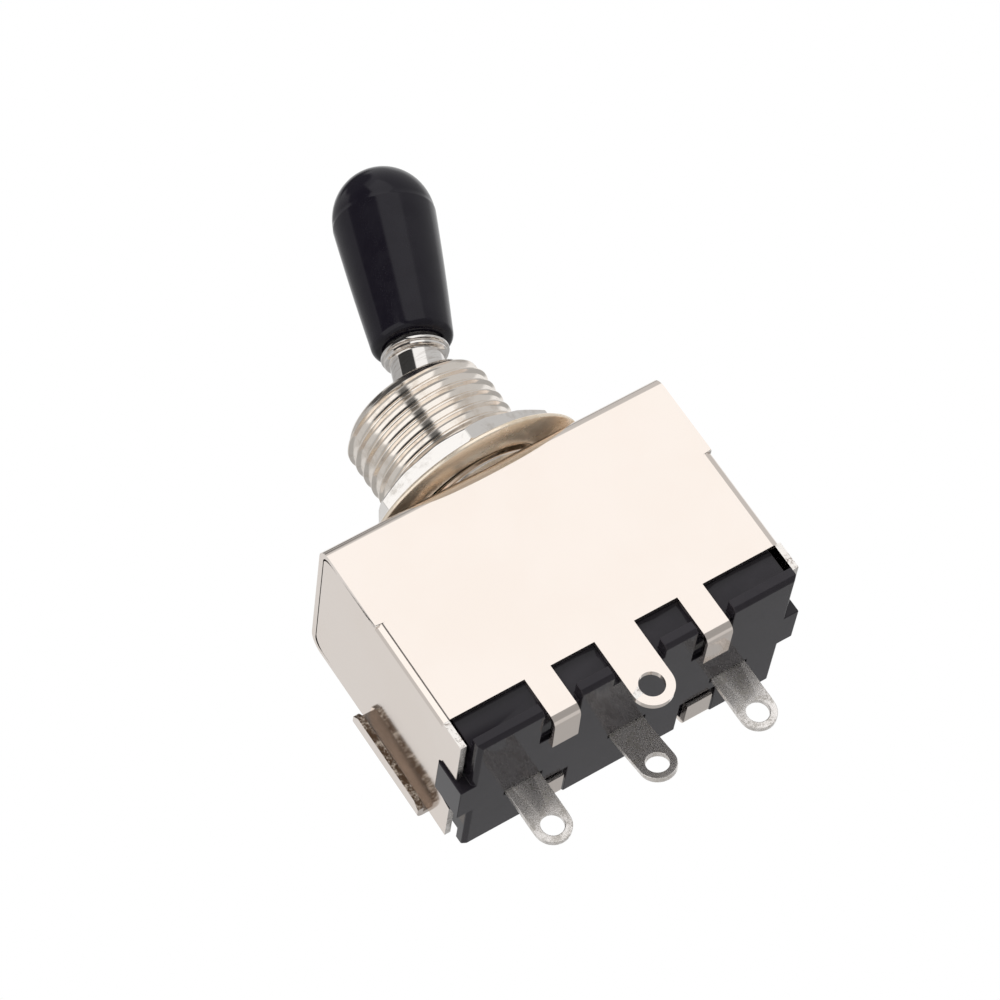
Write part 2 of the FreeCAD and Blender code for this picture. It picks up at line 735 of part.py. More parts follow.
def make_base():
    body = new_body("base")
    rim_side = f"({FRONT} + rim_proud)"
    block = new_sketch(body, "XY_Plane", "-box_height")
    rectangle(block, f"-{BASE_HALF}", BASE_HALF, f"-{BASE_SIDE}", BASE_SIDE)
    pad(body, block, "base_height")
    rim = new_sketch(body, "XY_Plane", "-box_height")
    rectangle(rim, f"-{BASE_HALF}", BASE_HALF, f"-{rim_side}", rim_side)
    pad(body, rim, "rim_thick")
    low = value("-box_height")
    broken_edges(body, "Chamfer", "edge_break", lambda middle: middle.z < low + 1e-6)
    ears = new_sketch(body, "YZ_Plane")
    rectangle(
        ears,
        "-slot_front + ear_gap",
        "slot_back - ear_gap",
        "-box_height",
        f"-{FLAP_DROP} + slot_rise - ear_gap",
    )
    pad(body, ears, "shell_width + 2 * ear_proud", both=True)
    cavity = new_sketch(body, "XY_Plane", BASE_TOP)
    end = f"({BASE_HALF} - base_wall)"
    rectangle(cavity, f"-{end}", end, f"-{WALL_INSIDE}", WALL_INSIDE)
    pocket(body, cavity, "base_height - base_floor")
    slots = new_sketch(body, "XY_Plane", FLOOR_TOP)
    for number in (-1, 0, 1):
        rectangle(
            slots,
            f"{number} * {TAIL_PITCH} - tail_width / 2 - tail_play",
            f"{number} * {TAIL_PITCH} + tail_width / 2 + tail_play",
            "tail_place - blade - tail_play",
            "tail_place",
        )
    pocket(body, slots, "base_floor")
    outside = f"({rim_side} + rim_proud)"
    notches = new_sketch(body, "XY_Plane", f"-{FLAP_DROP}")
    lug_side = "lug_width / 2 + tab_gap"
    rectangle(notches, f"-({lug_side})", lug_side, f"-{outside}", f"-{BASE_SIDE}")
    recesses = new_sketch(body, "XY_Plane", "-box_height + tab_recess")
    for side in (-1, 1):
        left = f"{side} * tab_place - tab_width / 2 - tab_gap"
        right = f"{side} * tab_place + tab_width / 2 + tab_gap"
        front_end = f"{FRONT} - tab_length - recess_spare"
        back_end = f"{FRONT} - back_tab_length - recess_spare"
        rectangle(notches, left, right, f"-{outside}", f"-{BASE_SIDE}")
        rectangle(notches, left, right, BASE_SIDE, outside)
        rectangle(recesses, left, right, f"-{outside}", f"-({front_end})")
        rectangle(recesses, left, right, back_end, outside)
    pocket(body, notches, "rim_thick")
    pocket(body, recesses, "tab_recess")
    return body


# Terminals


def tail_end(body, centre, foot, offset="0", bend=None):
    """Cut away what lies outside a tail's round end, and its eye."""
    sketch = new_sketch(body, "XZ_Plane", offset)
    left, right = f"{centre} - tail_width / 2", f"{centre} + tail_width / 2"
    outline(
        sketch,
        [
            (left, foot),
            (centre, f"{foot} - tail_width / 2", "tail_width / 2"),
            (right, foot, "tail_width / 2"),
            (f"{right} + sheet", foot),
            (f"{right} + sheet", f"{foot} - tail_width"),
            (f"{left} - sheet", f"{foot} - tail_width"),
            (f"{left} - sheet", foot),
        ],
    )
    circle(sketch, centre, foot, "eye")
    if bend:
        sketch.AttachmentOffset = FreeCAD.Placement(
            sketch.AttachmentOffset.Base, FreeCAD.Rotation(Vector(-1, 0, 0), 1)
        )
        sketch.setExpression("AttachmentOffset.Base.y", formula("-box_height - bend_reach"))
        sketch.setExpression("AttachmentOffset.Base.z", formula(offset))
        sketch.setExpression("AttachmentOffset.Rotation.Angle", formula(f"{bend} * 1 deg"))
    return pocket(body, sketch, "4 * tail_width", both=True)


def make_outer_terminal(label, side):
    """A rail on the floor and a straight tail through it."""
    body = new_body(label)
    centre = f"{side} * {TAIL_PITCH}"
    outer = f"{side} * ({TAIL_PITCH} + tail_width / 2)"
    inner = f"{side} * ({TAIL_PITCH} - tail_width / 2)"
    eye = "-box_height - eye_reach"
    rail = new_sketch(body, "XY_Plane", FLOOR_TOP)
    outline(
        rail,
        [
            (f"{side} * rail_split", f"-{RAIL_FAR}"),
            (outer, f"-{RAIL_FAR}"),
            (outer, "tail_place"),
            (inner, "tail_place"),
            (inner, "-rail_near"),
            (f"{side} * rail_split", "-rail_near"),
        ],
    )
    pad(body, rail, "blade")
    tail = new_sketch(body, "XZ_Plane", "-tail_place")
    rectangle(tail, inner, outer, f"{eye} - tail_width / 2", RAIL_TOP)
    pad(body, tail, "blade")
    tail_end(body, centre, eye, "-tail_place")
    return body


def make_centre_terminal():
    """A rail on the floor and a tail that is bent forward below the base."""
    body = new_body("terminal_centre")
    rail = new_sketch(body, "XY_Plane", FLOOR_TOP)
    half = f"({TIP_TRAVEL} + foot_pitch / 2 + rail_spare)"
    rectangle(rail, f"-{half}", half, "rail_near", RAIL_FAR)
    pad(body, rail, "blade")
    tail = new_sketch(body, "YZ_Plane")
    lean = "tail_bend * 1 deg"
    below = f"((eye_reach - bend_reach) / cos({lean}))"
    run = f"({below} + tail_width / 2)"
    front = "tail_place - blade"
    bend = "(-box_height - bend_reach)"
    outline(
        tail,
        [
            (front, RAIL_TOP),
            (front, bend),
            (f"{front} - {run} * sin({lean})", f"{bend} - {run} * cos({lean})"),
            (
                f"{front} - {run} * sin({lean}) + blade * cos({lean})",
                f"{bend} - {run} * cos({lean}) - blade * sin({lean})",
            ),
            ("tail_place", f"{bend} - blade * tan({lean} / 2)"),
            ("tail_place", RAIL_TOP),
        ],
    )
    pad(body, tail, "tail_width", both=True)
    tail_end(body, "0", f"-{below}", f"-({front})", bend="tail_bend")
    return body


# Slider, guide and contacts


def make_guide_plate():
    body = new_body("guide_plate")
    sketch = new_sketch(body, "XY_Plane", BASE_TOP)
    end = f"({FACE_HALF} - 2 * guide_play)"
    rectangle(sketch, f"-{end}", end, f"-{BASE_SIDE}", BASE_SIDE)
    reach = f"(post_width / 2 + {TIP_TRAVEL} + 3 * guide_play)"
    side = "(post_depth / 2 + guide_play)"
    rectangle(sketch, f"-{reach}", reach, f"-{side}", side)
    pad(body, sketch, "guide_thick")
    return body


def make_slider():
    body = new_body("slider")
    plate = new_sketch(body, "XY_Plane", SLIDER_UNDER)
    front = f"-{WALL_INSIDE} + guide_play"
    rectangle(plate, "-slider_length / 2", "slider_length / 2", front, SLIDER_BACK)
    pad(body, plate, f"{BASE_TOP} - guide_play - {SLIDER_UNDER}")
    post = new_sketch(body, "XY_Plane", POST_TOP)
    rectangle(post, "-post_width / 2", "post_width / 2", "-post_depth / 2", "post_depth / 2")
    pad(body, post, f"{POST_TOP} - {BASE_TOP} + 2 * guide_play", back=True)
    top = value(POST_TOP)
    broken_edges(body, "Fillet", "post_round", lambda middle: middle.z > top - 1e-6)
    socket = new_sketch(body, "XY_Plane", POST_TOP)
    reach = f"({TIP} / 2 + socket_play)"
    rectangle(socket, f"-{reach}", reach, f"-{reach} - sheet", f"{reach} + sheet")
    pocket(body, socket, f"{POST_TOP} - pivot_height + tip_reach + {TIP} / 2 + socket_spare")
    well = new_sketch(body, "XY_Plane", SLIDER_UNDER)
    well_end, well_side = "(bow_span / 2 + guide_play)", "(bow_width / 2 + guide_play)"
    rectangle(well, f"-{well_end}", well_end, f"-{well_side}", well_side)
    pocket(body, well, "bow_rise + fit", back=True)
    hollow = new_sketch(body, "XZ_Plane", f"-{SLIDER_BACK}")
    circle(hollow, "0", DETENT_HEIGHT, "plunger + 2 * fit")
    pocket(body, hollow, "plunger_length", back=True)
    slide_with_tip(body)
    return body


def make_wiper():
    """The bridge that joins the middle rail to one outer rail, or to both."""
    body = new_body("wiper")
    plate = new_sketch(body, "XY_Plane", WIPER_UNDER)
    end, side = "wiper_length / 2", "wiper_width / 2"
    rectangle(plate, f"-{end}", end, f"-{side}", side)
    pad(body, plate, "wiper_sheet")
    feet = new_sketch(body, "XZ_Plane", f"-{side}")
    for hand in (-1, 1):
        centre = f"{hand} * foot_pitch / 2"
        outline(
            feet,
            [
                (f"{centre} - foot_radius", WIPER_UNDER),
                (centre, WIPER_FOOT, "foot_radius"),
                (f"{centre} + foot_radius", WIPER_UNDER, "foot_radius"),
                (f"{centre} + foot_radius", f"{WIPER_UNDER} + wiper_sheet / 2"),
                (f"{centre} - foot_radius", f"{WIPER_UNDER} + wiper_sheet / 2"),
            ],
        )
    mirrored(body, [pad(body, feet, "foot_length")], "XZ_Plane")
    slide_with_tip(body)
    return body


def make_wiper_spring():
    """A bowed leaf between the slider and the wiper."""
    body = new_body("wiper_spring")
    sketch = new_sketch(body, "XZ_Plane")
    outer, rise = "(bow_span / 2)", "bow_rise"
    inner, hollow = "(bow_span / 2 - leaf)", "(bow_rise - leaf)"
    radius = f"({outer}^2 + {rise}^2) / (2 * {rise})"
    inner_radius = f"-({inner}^2 + {hollow}^2) / (2 * {hollow})"
    outline(
        sketch,
        [
            (f"-{outer}", SLIDER_UNDER, radius),
            (f"-{inner}", SLIDER_UNDER),
            ("0", f"{SLIDER_UNDER} + {hollow}", inner_radius),
            (inner, SLIDER_UNDER, inner_radius),
            (outer, SLIDER_UNDER),
            ("0", f"{SLIDER_UNDER} + {rise}", radius),
        ],
    )
    pad(body, sketch, "bow_width", both=True)
    slide_with_tip(body)
    return body


def make_detent_plunger():
    """A pin with a blunt nose, in the slider's back."""
    body = new_body("detent_plunger")
    nose = f"{WALL_INSIDE} - leaf_stand - leaf - fit"
    shaft = new_sketch(body, "XZ_Plane", f"-({nose} - plunger_length)")
    circle(shaft, "0", DETENT_HEIGHT, "plunger")
    pad(body, shaft, "plunger_length", back=True)
    tip = value(nose)
    broken_edges(body, "Chamfer", "plunger_nose", lambda middle: middle.y > tip - 1e-6)
    slide_with_tip(body)
    return body


def make_detent_spring():
    """A leaf along the back wall, with a dimple for each place of the slider."""
    body = new_body("detent_spring")
    wall = WALL_INSIDE
    end = f"{BASE_HALF} - base_wall - guide_play"
    last = f"({TIP_TRAVEL} + dimple_width)"
    near, deep = f"{wall} - leaf_stand", f"{wall} - leaf_stand + dimple"
    path = [(f"-({end})", wall), (f"-({end}) + dimple_width / 2", wall), (f"-{last}", near)]
    for place in (f"-{TIP_TRAVEL}", "0", TIP_TRAVEL):
        path += [
            (f"{place} - dimple_width / 2", near),
            (place, deep),
            (f"{place} + dimple_width / 2", near),
        ]
    path += [(last, near), (f"{end} - dimple_width / 2", wall), (end, wall)]
    sketch = new_sketch(body, "XY_Plane", f"{DETENT_HEIGHT} - leaf_height / 2")
    outline(sketch, [(x, f"{y} - leaf") for x, y in path] + path[::-1])
    pad(body, sketch, "leaf_height")
    return body


pieces = [
    make_shell(),
    make_front_face(),
    make_back_face(),
    make_flap("flap_left", -1),
    make_flap("flap_right", 1),
    make_bushing(),
    make_seat_ring(),
    make_circlip(),
    make_hex_nut(),
    make_flat_washer(),
    make_lever(),
    make_pivot_pin(),
    make_knob(),
    make_tip_cap(),
    make_base(),
    make_outer_terminal("terminal_left", -1),
    make_centre_terminal(),
    make_outer_terminal("terminal_right", 1),
    make_guide_plate(),
    make_slider(),
    make_wiper(),
    make_wiper_spring(),
    make_detent_plunger(),
    make_detent_spring(),
]
doc.recompute()

for item in doc.Objects:
    if "Invalid" in item.State or "Error" in item.State:
        raise RuntimeError(f"{item.Label} did not recompute: {item.State}")
for piece in pieces:
    if piece.Shape.isNull() or not piece.Shape.isValid():
        raise RuntimeError(f"{piece.Label} has no valid shape")
    if len(piece.Shape.Solids) != 1:
        raise RuntimeError(f"{piece.Label} has {len(piece.Shape.Solids)} solids")

os.makedirs("parts", exist_ok=True)
for piece in pieces:
    piece.Shape.exportStep(os.path.join("parts", f"{piece.Label}.step"))
    box = piece.Shape.BoundBox
    print(
        f"{piece.Label}: {piece.Shape.Volume:.2f} mm3,"
        f" x {box.XMin:.2f} {box.XMax:.2f},"
        f" y {box.YMin:.2f} {box.YMax:.2f},"
        f" z {box.ZMin:.2f} {box.ZMax:.2f}"
    )
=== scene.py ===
"""Looks of the three-way toggle selector switch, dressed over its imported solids.

Shapes are written in millimetres in the part's own frame and turned into metres
when they are built. The origin is on the axis of the bushing, on the shell's top
face, +Z runs up the bushing and the lever rests thrown towards +X.
"""

import json
import logging
import math
from dataclasses import dataclass, field
from enum import Enum

import bmesh
import bpy
from mathutils import Matrix, Vector

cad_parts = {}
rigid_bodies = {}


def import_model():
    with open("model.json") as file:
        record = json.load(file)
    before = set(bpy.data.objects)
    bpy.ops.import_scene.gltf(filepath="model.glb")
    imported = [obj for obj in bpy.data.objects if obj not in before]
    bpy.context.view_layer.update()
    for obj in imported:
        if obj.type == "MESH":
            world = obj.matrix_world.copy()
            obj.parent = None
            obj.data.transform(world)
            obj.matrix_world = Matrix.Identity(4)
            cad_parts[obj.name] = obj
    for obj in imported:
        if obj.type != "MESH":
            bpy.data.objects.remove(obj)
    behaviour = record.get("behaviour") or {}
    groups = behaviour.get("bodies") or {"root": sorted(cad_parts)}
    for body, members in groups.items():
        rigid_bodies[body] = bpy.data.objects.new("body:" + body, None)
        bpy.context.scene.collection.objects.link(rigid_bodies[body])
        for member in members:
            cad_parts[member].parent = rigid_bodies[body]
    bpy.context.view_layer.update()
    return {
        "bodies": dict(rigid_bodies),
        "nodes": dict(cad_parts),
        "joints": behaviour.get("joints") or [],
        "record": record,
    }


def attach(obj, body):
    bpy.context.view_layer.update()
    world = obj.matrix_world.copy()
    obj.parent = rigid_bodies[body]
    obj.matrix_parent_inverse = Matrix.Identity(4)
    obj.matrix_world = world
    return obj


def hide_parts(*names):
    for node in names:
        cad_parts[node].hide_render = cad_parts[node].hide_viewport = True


LOG = logging.getLogger("switch")
MM = 0.001  # a millimetre in metres
NEAR = 0.01  # millimetres within which two places count as one
MERGE = 2e-6  # metres within which corners of a copied solid are merged
SEAM = 1e-7  # metres within which a turned seam's points are merged
FLAT = math.radians(0.6)  # faces that meet at less than this become one
Colour = tuple[float, float, float]
Place = tuple[float, float, float]
Profile = list[tuple[float, float]]
Socket = bpy.types.NodeSocket
Value = float | Socket


class Body(Enum):
    """The bodies that pieces ride on."""

    HOUSING = "housing"
    LEVER = "lever"
    SLIDER = "slider"


class Pattern(Enum):
    """How the marks on a surface are laid."""

    CLOUDS = "clouds"
    TURNED = "turned"
    ROLLED = "rolled"


# Materials


class Nodes:
    """A node tree with short calls for adding and joining nodes."""

    def __init__(self, tree: bpy.types.NodeTree) -> None:
        """Empty the tree."""
        self.tree = tree
        tree.nodes.clear()

    def add(self, kind: str, inputs: dict | None = None, **settings: str) -> bpy.types.Node:
        """Add a node.

        Args:
            kind: the node's type name.
            inputs: socket name or index to a value or to another node's output.
            settings: attributes of the node itself.

        Returns:
            The new node.
        """
        node = self.tree.nodes.new(kind)
        for name, value in settings.items():
            setattr(node, name, value)
        for name, value in (inputs or {}).items():
            if isinstance(value, Socket):
                self.tree.links.new(value, node.inputs[name])
            else:
                node.inputs[name].default_value = value
        return node

    def math(self, operation: str, first: Value, second: Value = 0.0) -> Socket:
        """The result of a maths node."""
        node = self.add("ShaderNodeMath", {0: first, 1: second}, operation=operation)
        return node.outputs[0]

    def noise(self, place: Socket, scale: float, detail: float, rough: float = 0.5) -> Socket:
        """A noise of a size, in marks per metre, at a place."""
        values = {"Vector": place, "Scale": scale, "Detail": detail, "Roughness": rough}
        return self.add("ShaderNodeTexNoise", values).outputs["Fac"]

    def spread(
        self, value: Value, low: float, high: float, start: float = 0.0, end: float = 1.0
    ) -> Socket:
        """A value between two limits, eased and carried to another span.

        Args:
            value: what is carried over.
            low: the lower limit.
            high: the upper limit.
            start: the result at the lower limit.
            end: the result at the upper limit.

        Returns:
            The socket of the result.
        """
        values = {"Value": value, 1: low, 2: high, 3: start, 4: end}
        node = self.add("ShaderNodeMapRange", values, interpolation_type="SMOOTHSTEP")
        return node.outputs[0]

    def blend(self, factor: Value, first: Colour, second: Colour) -> Socket:
        """A colour between two colours."""
        inputs = {0: factor, 6: (*first, 1.0), 7: (*second, 1.0)}
        return self.add("ShaderNodeMix", inputs, data_type="RGBA").outputs[2]

    def between(self, factor: Value, first: Value, second: Value) -> Socket:
        """A number between two numbers."""
        inputs = {0: factor, 2: first, 3: second}
        return self.add("ShaderNodeMix", inputs, data_type="FLOAT").outputs[0]

    def place(self, stretch: Vector | None = None) -> Socket:
        """The object's coordinates, stretched along some axes.

        Args:
            stretch: how many times finer marks lie along each axis, if not all alike.

        Returns:
            The socket of the coordinates.
        """
        source = self.add("ShaderNodeTexCoord").outputs["Object"]
        if stretch is None:
            return source
        return self.add("ShaderNodeMapping", {"Vector": source, "Scale": stretch}).outputs[0]


# How noise becomes marks: counts are for each fine mark, levels are the noise's own
COARSE_COUNT = 0.22
RELIEF_COUNT = 2.4
BARE_LEVEL = 0.62  # marks begin above this where their share is 0
SHARE_REACH = 0.3  # and this much lower where their share is 1
FADE_BELOW = 0.07
FADE_ABOVE = 0.09


@dataclass(frozen=True)
class Finish:
    """A surface that is the same all over, with fine marks in it.

    Attributes:
        name: the material's name.
        colour: its main colour, linear.
        stain: the colour of its marks.
        stain_share: how much of the surface the marks cover.
        roughness: of the clean surface.
        rough_marks: how much rougher it is in the marks.
        grain: marks per metre.
        bump: height of the fine relief, in millimetres.
        pattern: how the marks are laid.
    """

    name: str
    colour: Colour
    stain: Colour
    stain_share: float = 0.3
    roughness: float = 0.2
    rough_marks: float = 0.1
    grain: float = 900.0
    bump: float = 0.004
    pattern: Pattern = Pattern.CLOUDS

    def shader(self) -> dict[str, float]:
        """The shader's own values."""
        return {}

    def marks(self, nodes: Nodes) -> Socket:
        """The pattern of marks, from 0 on clean parts to 1.

        Args:
            nodes: the material's node tree.

        Returns:
            The socket that carries it.
        """
        stretch = {
            Pattern.CLOUDS: None,
            Pattern.TURNED: Vector((1.0, 1.0, 12.0)),
            Pattern.ROLLED: Vector((1.0, 1.0, 0.12)),
        }[self.pattern]
        coarse = nodes.noise(nodes.place(), self.grain * COARSE_COUNT, 4.0, 0.6)
        fine = nodes.noise(nodes.place(stretch), self.grain, 5.0, 0.62)
        halves = [nodes.math("MULTIPLY", part, 0.5) for part in (coarse, fine)]
        edge = BARE_LEVEL - SHARE_REACH * self.stain_share
        return nodes.spread(nodes.math("ADD", *halves), edge - FADE_BELOW, edge + FADE_ABOVE)

    def material(self) -> bpy.types.Material:
        """Build the material.

        Returns:
            The material, or the one that was built before under its name.
        """
        name = f"{self.name}_finish"
        known = bpy.data.materials.get(name)
        if known:
            return known
        made = bpy.data.materials.new(name)
        made.use_nodes = True
        made.diffuse_color = (*self.colour, 1.0)
        nodes = Nodes(made.node_tree)
        marks = self.marks(nodes)
        rough_top = min(self.roughness + self.rough_marks, 1.0)
        relief = nodes.noise(nodes.place(), self.grain * RELIEF_COUNT, 3.0, 0.55)
        bump = nodes.add(
            "ShaderNodeBump",
            {"Height": relief, "Strength": 0.5, "Distance": self.bump * MM},
        )
        values = {
            "Base Color": nodes.blend(marks, self.colour, self.stain),
            "Roughness": nodes.spread(marks, 0.0, 1.0, self.roughness, rough_top),
            "Normal": bump.outputs[0],
        }
        shader = nodes.add("ShaderNodeBsdfPrincipled", values | self.shader())
        nodes.add("ShaderNodeOutputMaterial", {"Surface": shader.outputs[0]})
        return made


@dataclass(frozen=True)
class Plated(Finish):
    """A metal surface.

    Attributes:
        metal: how far it shines as bare metal does.
    """

    metal: float = 1.0

    def shader(self) -> dict[str, float]:
        """A metal's values."""
        return {"Metallic": self.metal}


@dataclass(frozen=True)
class Moulded(Finish):
    """A plastic surface.

    Attributes:
        index: its refractive index.
    """

    index: float = 1.46

    def shader(self) -> dict[str, float]:
        """A plastic's values."""
        return {"IOR": self.index}


SHELL_NICKEL = Plated(
    name="shell_nickel",
    colour=(0.985, 0.895, 0.825),
    stain=(0.975, 0.880, 0.805),
    stain_share=0.3,
    roughness=0.10,
    rough_marks=0.03,
    grain=120.0,
    bump=0.0010,
)
CUT_EDGE = Plated(
    name="sheared_edge",
    colour=(0.80, 0.72, 0.63),
    stain=(0.16, 0.105, 0.07),
    stain_share=0.55,
    roughness=0.28,
    rough_marks=0.25,
    grain=7000.0,
    bump=0.04,
)
TRIMMED_EDGE = Plated(
    name="trimmed_edge",
    colour=(0.94, 0.90, 0.86),
    stain=(0.36, 0.30, 0.26),
    stain_share=0.22,
    roughness=0.18,
    rough_marks=0.22,
    grain=8000.0,
    bump=0.025,
)
THREAD_NICKEL = Plated(
    name="bushing_nickel",
    colour=(0.97, 0.90, 0.825),
    stain=(0.84, 0.75, 0.66),
    stain_share=0.22,
    roughness=0.12,
    rough_marks=0.10,
    grain=900.0,
    bump=0.004,
)
NUT_NICKEL = Plated(
    name="nut_nickel",
    colour=(0.94, 0.905, 0.87),
    stain=(0.76, 0.71, 0.66),
    stain_share=0.16,
    roughness=0.12,
    rough_marks=0.10,
    grain=1100.0,
    bump=0.004,
)
WASHER_NICKEL = Plated(
    name="washer_nickel",
    colour=(0.96, 0.84, 0.69),
    stain=(0.82, 0.68, 0.51),
    stain_share=0.25,
    roughness=0.26,
    rough_marks=0.08,
    grain=650.0,
    bump=0.003,
    metal=0.8,
)
LEVER_STEEL = Plated(
    name="lever_steel",
    colour=(0.90, 0.87, 0.84),
    stain=(0.62, 0.57, 0.53),
    stain_share=0.15,
    roughness=0.08,
    rough_marks=0.08,
    grain=800.0,
    bump=0.002,
    pattern=Pattern.TURNED,
)
TERMINAL_TIN = Plated(
    name="terminal_tin",
    colour=(0.95, 0.91, 0.88),
    stain=(0.70, 0.66, 0.61),
    stain_share=0.34,
    roughness=0.24,
    rough_marks=0.13,
    grain=5200.0,
    bump=0.010,
    metal=0.8,
)
SPRING_STEEL = Plated(
    name="spring_steel",
    colour=(0.56, 0.56, 0.57),
    stain=(0.30, 0.29, 0.28),
    stain_share=0.3,
    roughness=0.28,
    rough_marks=0.12,
    grain=1500.0,
    bump=0.004,
    pattern=Pattern.ROLLED,
)
CONTACT_BRONZE = Plated(
    name="contact_bronze",
    colour=(0.72, 0.47, 0.24),
    stain=(0.42, 0.25, 0.12),
    stain_share=0.35,
    roughness=0.26,
    rough_marks=0.16,
    grain=1400.0,
    bump=0.005,
    pattern=Pattern.ROLLED,
)
BLACK_TIP = Moulded(
    name="black_tip",
    colour=(0.0062, 0.0052, 0.0085),
    stain=(0.0080, 0.0070, 0.0105),
    stain_share=0.4,
    roughness=0.12,
    rough_marks=0.04,
    grain=500.0,
    bump=0.0012,
    index=1.34,
)
BLACK_BASE = Moulded(
    name="black_base",
    colour=(0.0135, 0.0118, 0.0150),
    stain=(0.0170, 0.0150, 0.0185),
    stain_share=0.4,
    roughness=0.08,
    rough_marks=0.04,
    grain=420.0,
    bump=0.0012,
    index=1.35,
)
WHITE_NYLON = Moulded(
    name="white_nylon",
    colour=(0.78, 0.76, 0.69),
    stain=(0.70, 0.67, 0.58),
    stain_share=0.3,
    roughness=0.42,
    rough_marks=0.10,
    grain=600.0,
    bump=0.006,
)
SLIDER_NYLON = Moulded(
    name="slider_nylon",
    colour=(0.70, 0.67, 0.60),
    stain=(0.58, 0.55, 0.47),
    stain_share=0.3,
    roughness=0.38,
    rough_marks=0.10,
    grain=600.0,
    bump=0.006,
)
BROWN_BOARD = Moulded(
    name="brown_board",
    colour=(0.24, 0.115, 0.048),
    stain=(0.14, 0.060, 0.024),
    stain_share=0.5,
    roughness=0.5,
    rough_marks=0.15,
    grain=1300.0,
    bump=0.015,
)


# Mesh making


@dataclass
class Piece:
    """A mesh in the making, and what it stands for.

    Attributes:
        name: the piece's name.
        body: the body that it rides on.
        finishes: its finishes, by material index.
        slot: the record's material slot; it is kept but not used.
        stands_for: the nodes that it replaces.
        bevel: width of the broken edges in millimetres, or 0.
        sharp: angle in degrees above which an edge stays sharp.
        mesh: its shape so far, in metres.
    """

    name: str
    body: Body
    finishes: list[Finish]
    slot: str
    stands_for: tuple[str, ...]
    bevel: float = 0.0
    sharp: float = 32.0
    mesh: bmesh.types.BMesh = field(default_factory=bmesh.new)

    def finish(self) -> bpy.types.Object:
        """Turn the mesh into an object of the scene.

        Returns:
            The new object.
        """
        bmesh.ops.recalc_face_normals(self.mesh, faces=self.mesh.faces)
        data = bpy.data.meshes.new(self.name)
        for face in self.mesh.faces:
            face.smooth = True
        self.mesh.to_mesh(data)
        self.mesh.free()
        data.set_sharp_from_angle(angle=math.radians(self.sharp))
        piece = bpy.data.objects.new(self.name, data)
        bpy.context.scene.collection.objects.link(piece)
        for finish in self.finishes:
            data.materials.append(finish.material())
        if self.bevel:
            rounding = piece.modifiers.new("edges", "BEVEL")
            rounding.width = self.bevel * MM
            rounding.segments = 2
            rounding.limit_method = "ANGLE"
            rounding.angle_limit = math.radians(self.sharp)
            rounding.harden_normals = True
            rounding.use_clamp_overlap = True
        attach(piece, self.body.value)
        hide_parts(*self.stands_for)
        LOG.info("%s: %d faces", self.name, len(data.polygons))
        return piece

    def take_solid(self, frame: dict) -> None:
        """Start from merged copies of the nodes' own meshes.

        Args:
            frame: the loaded frame.
        """
        bm = self.mesh
        for name in self.stands_for:
            bm.from_mesh(frame["nodes"][name].data)
        bmesh.ops.remove_doubles(bm, verts=bm.verts, dist=MERGE)
        join_flat(bm)

    def lathe(self, profile: Profile, steps: int, closed: bool = True) -> None:
        """Turn a profile about Z.

        Args:
            profile: radius and height in millimetres, from one end to the other.
            steps: faces round the axis.
            closed: whether the last point joins the first.
        """
        bm = self.mesh
        start = [bm.verts.new((radius * MM, 0.0, height * MM)) for radius, height in profile]
        pairs = list(zip(start, start[1:]))
        if closed:
            pairs.append((start[-1], start[0]))
        edges = [bm.edges.new(pair) for pair in pairs]
        bmesh.ops.spin(
            bm,
            geom=start + edges,
            cent=(0, 0, 0),
            axis=(0, 0, 1),
            angle=2 * math.pi,
            steps=steps,
            use_merge=True,
        )
        bmesh.ops.remove_doubles(bm, verts=bm.verts, dist=SEAM)

    def tilt(self, pivot_height: float, degrees: float) -> None:
        """Carry a mesh that is drawn from the pivot to the lever's rest.

        Args:
            pivot_height: height of the pivot in millimetres.
            degrees: tilt towards +X.
        """
        move = Matrix.Translation((0, 0, pivot_height * MM))
        turn = Matrix.Rotation(math.radians(degrees), 4, "Y")
        bmesh.ops.transform(self.mesh, matrix=move @ turn, verts=self.mesh.verts)


def join_flat(bm: bmesh.types.BMesh) -> None:
    """Join faces that lie in one plane.

    Args:
        bm: the mesh.
    """
    bmesh.ops.dissolve_limit(
        bm,
        angle_limit=FLAT,
        use_dissolve_boundaries=False,
        verts=bm.verts,
        edges=bm.edges,
    )


def arc(
    centre: tuple[float, float], radius: float, start: float, end: float, steps: int
) -> Profile:
    """Points of an arc in a profile.

    Args:
        centre: radius and height of its centre.
        radius: of the arc.
        start: first angle in degrees, from the radial direction.
        end: last angle.
        steps: number of spans.

    Returns:
        The points, both ends among them.
    """
    angles = [math.radians(start + (end - start) * step / steps) for step in range(steps + 1)]
    return [(centre[0] + radius * math.cos(a), centre[1] + radius * math.sin(a)) for a in angles]


def softened(profile: Profile, radius: float, closed: bool = True) -> Profile:
    """Round each corner of a profile a little.

    Args:
        profile: the corners.
        radius: how far from a corner the rounding begins, in millimetres.
        closed: whether the profile is a closed one.

    Returns:
        The profile with three points at each corner.
    """
    result: Profile = []
    count = len(profile)
    for index, corner in enumerate(profile):
        if not closed and index in (0, count - 1):
            result.append(corner)
            continue
        here = Vector(corner)
        before = Vector(profile[index - 1]) - here
        after = Vector(profile[(index + 1) % count]) - here
        reach = min(radius, before.length * 0.4, after.length * 0.4)
        first = here + before.normalized() * reach
        last = here + after.normalized() * reach
        middle = here * 0.5 + (first + last) * 0.25
        result += [tuple(first), tuple(middle), tuple(last)]
    return result


# Sub-assemblies


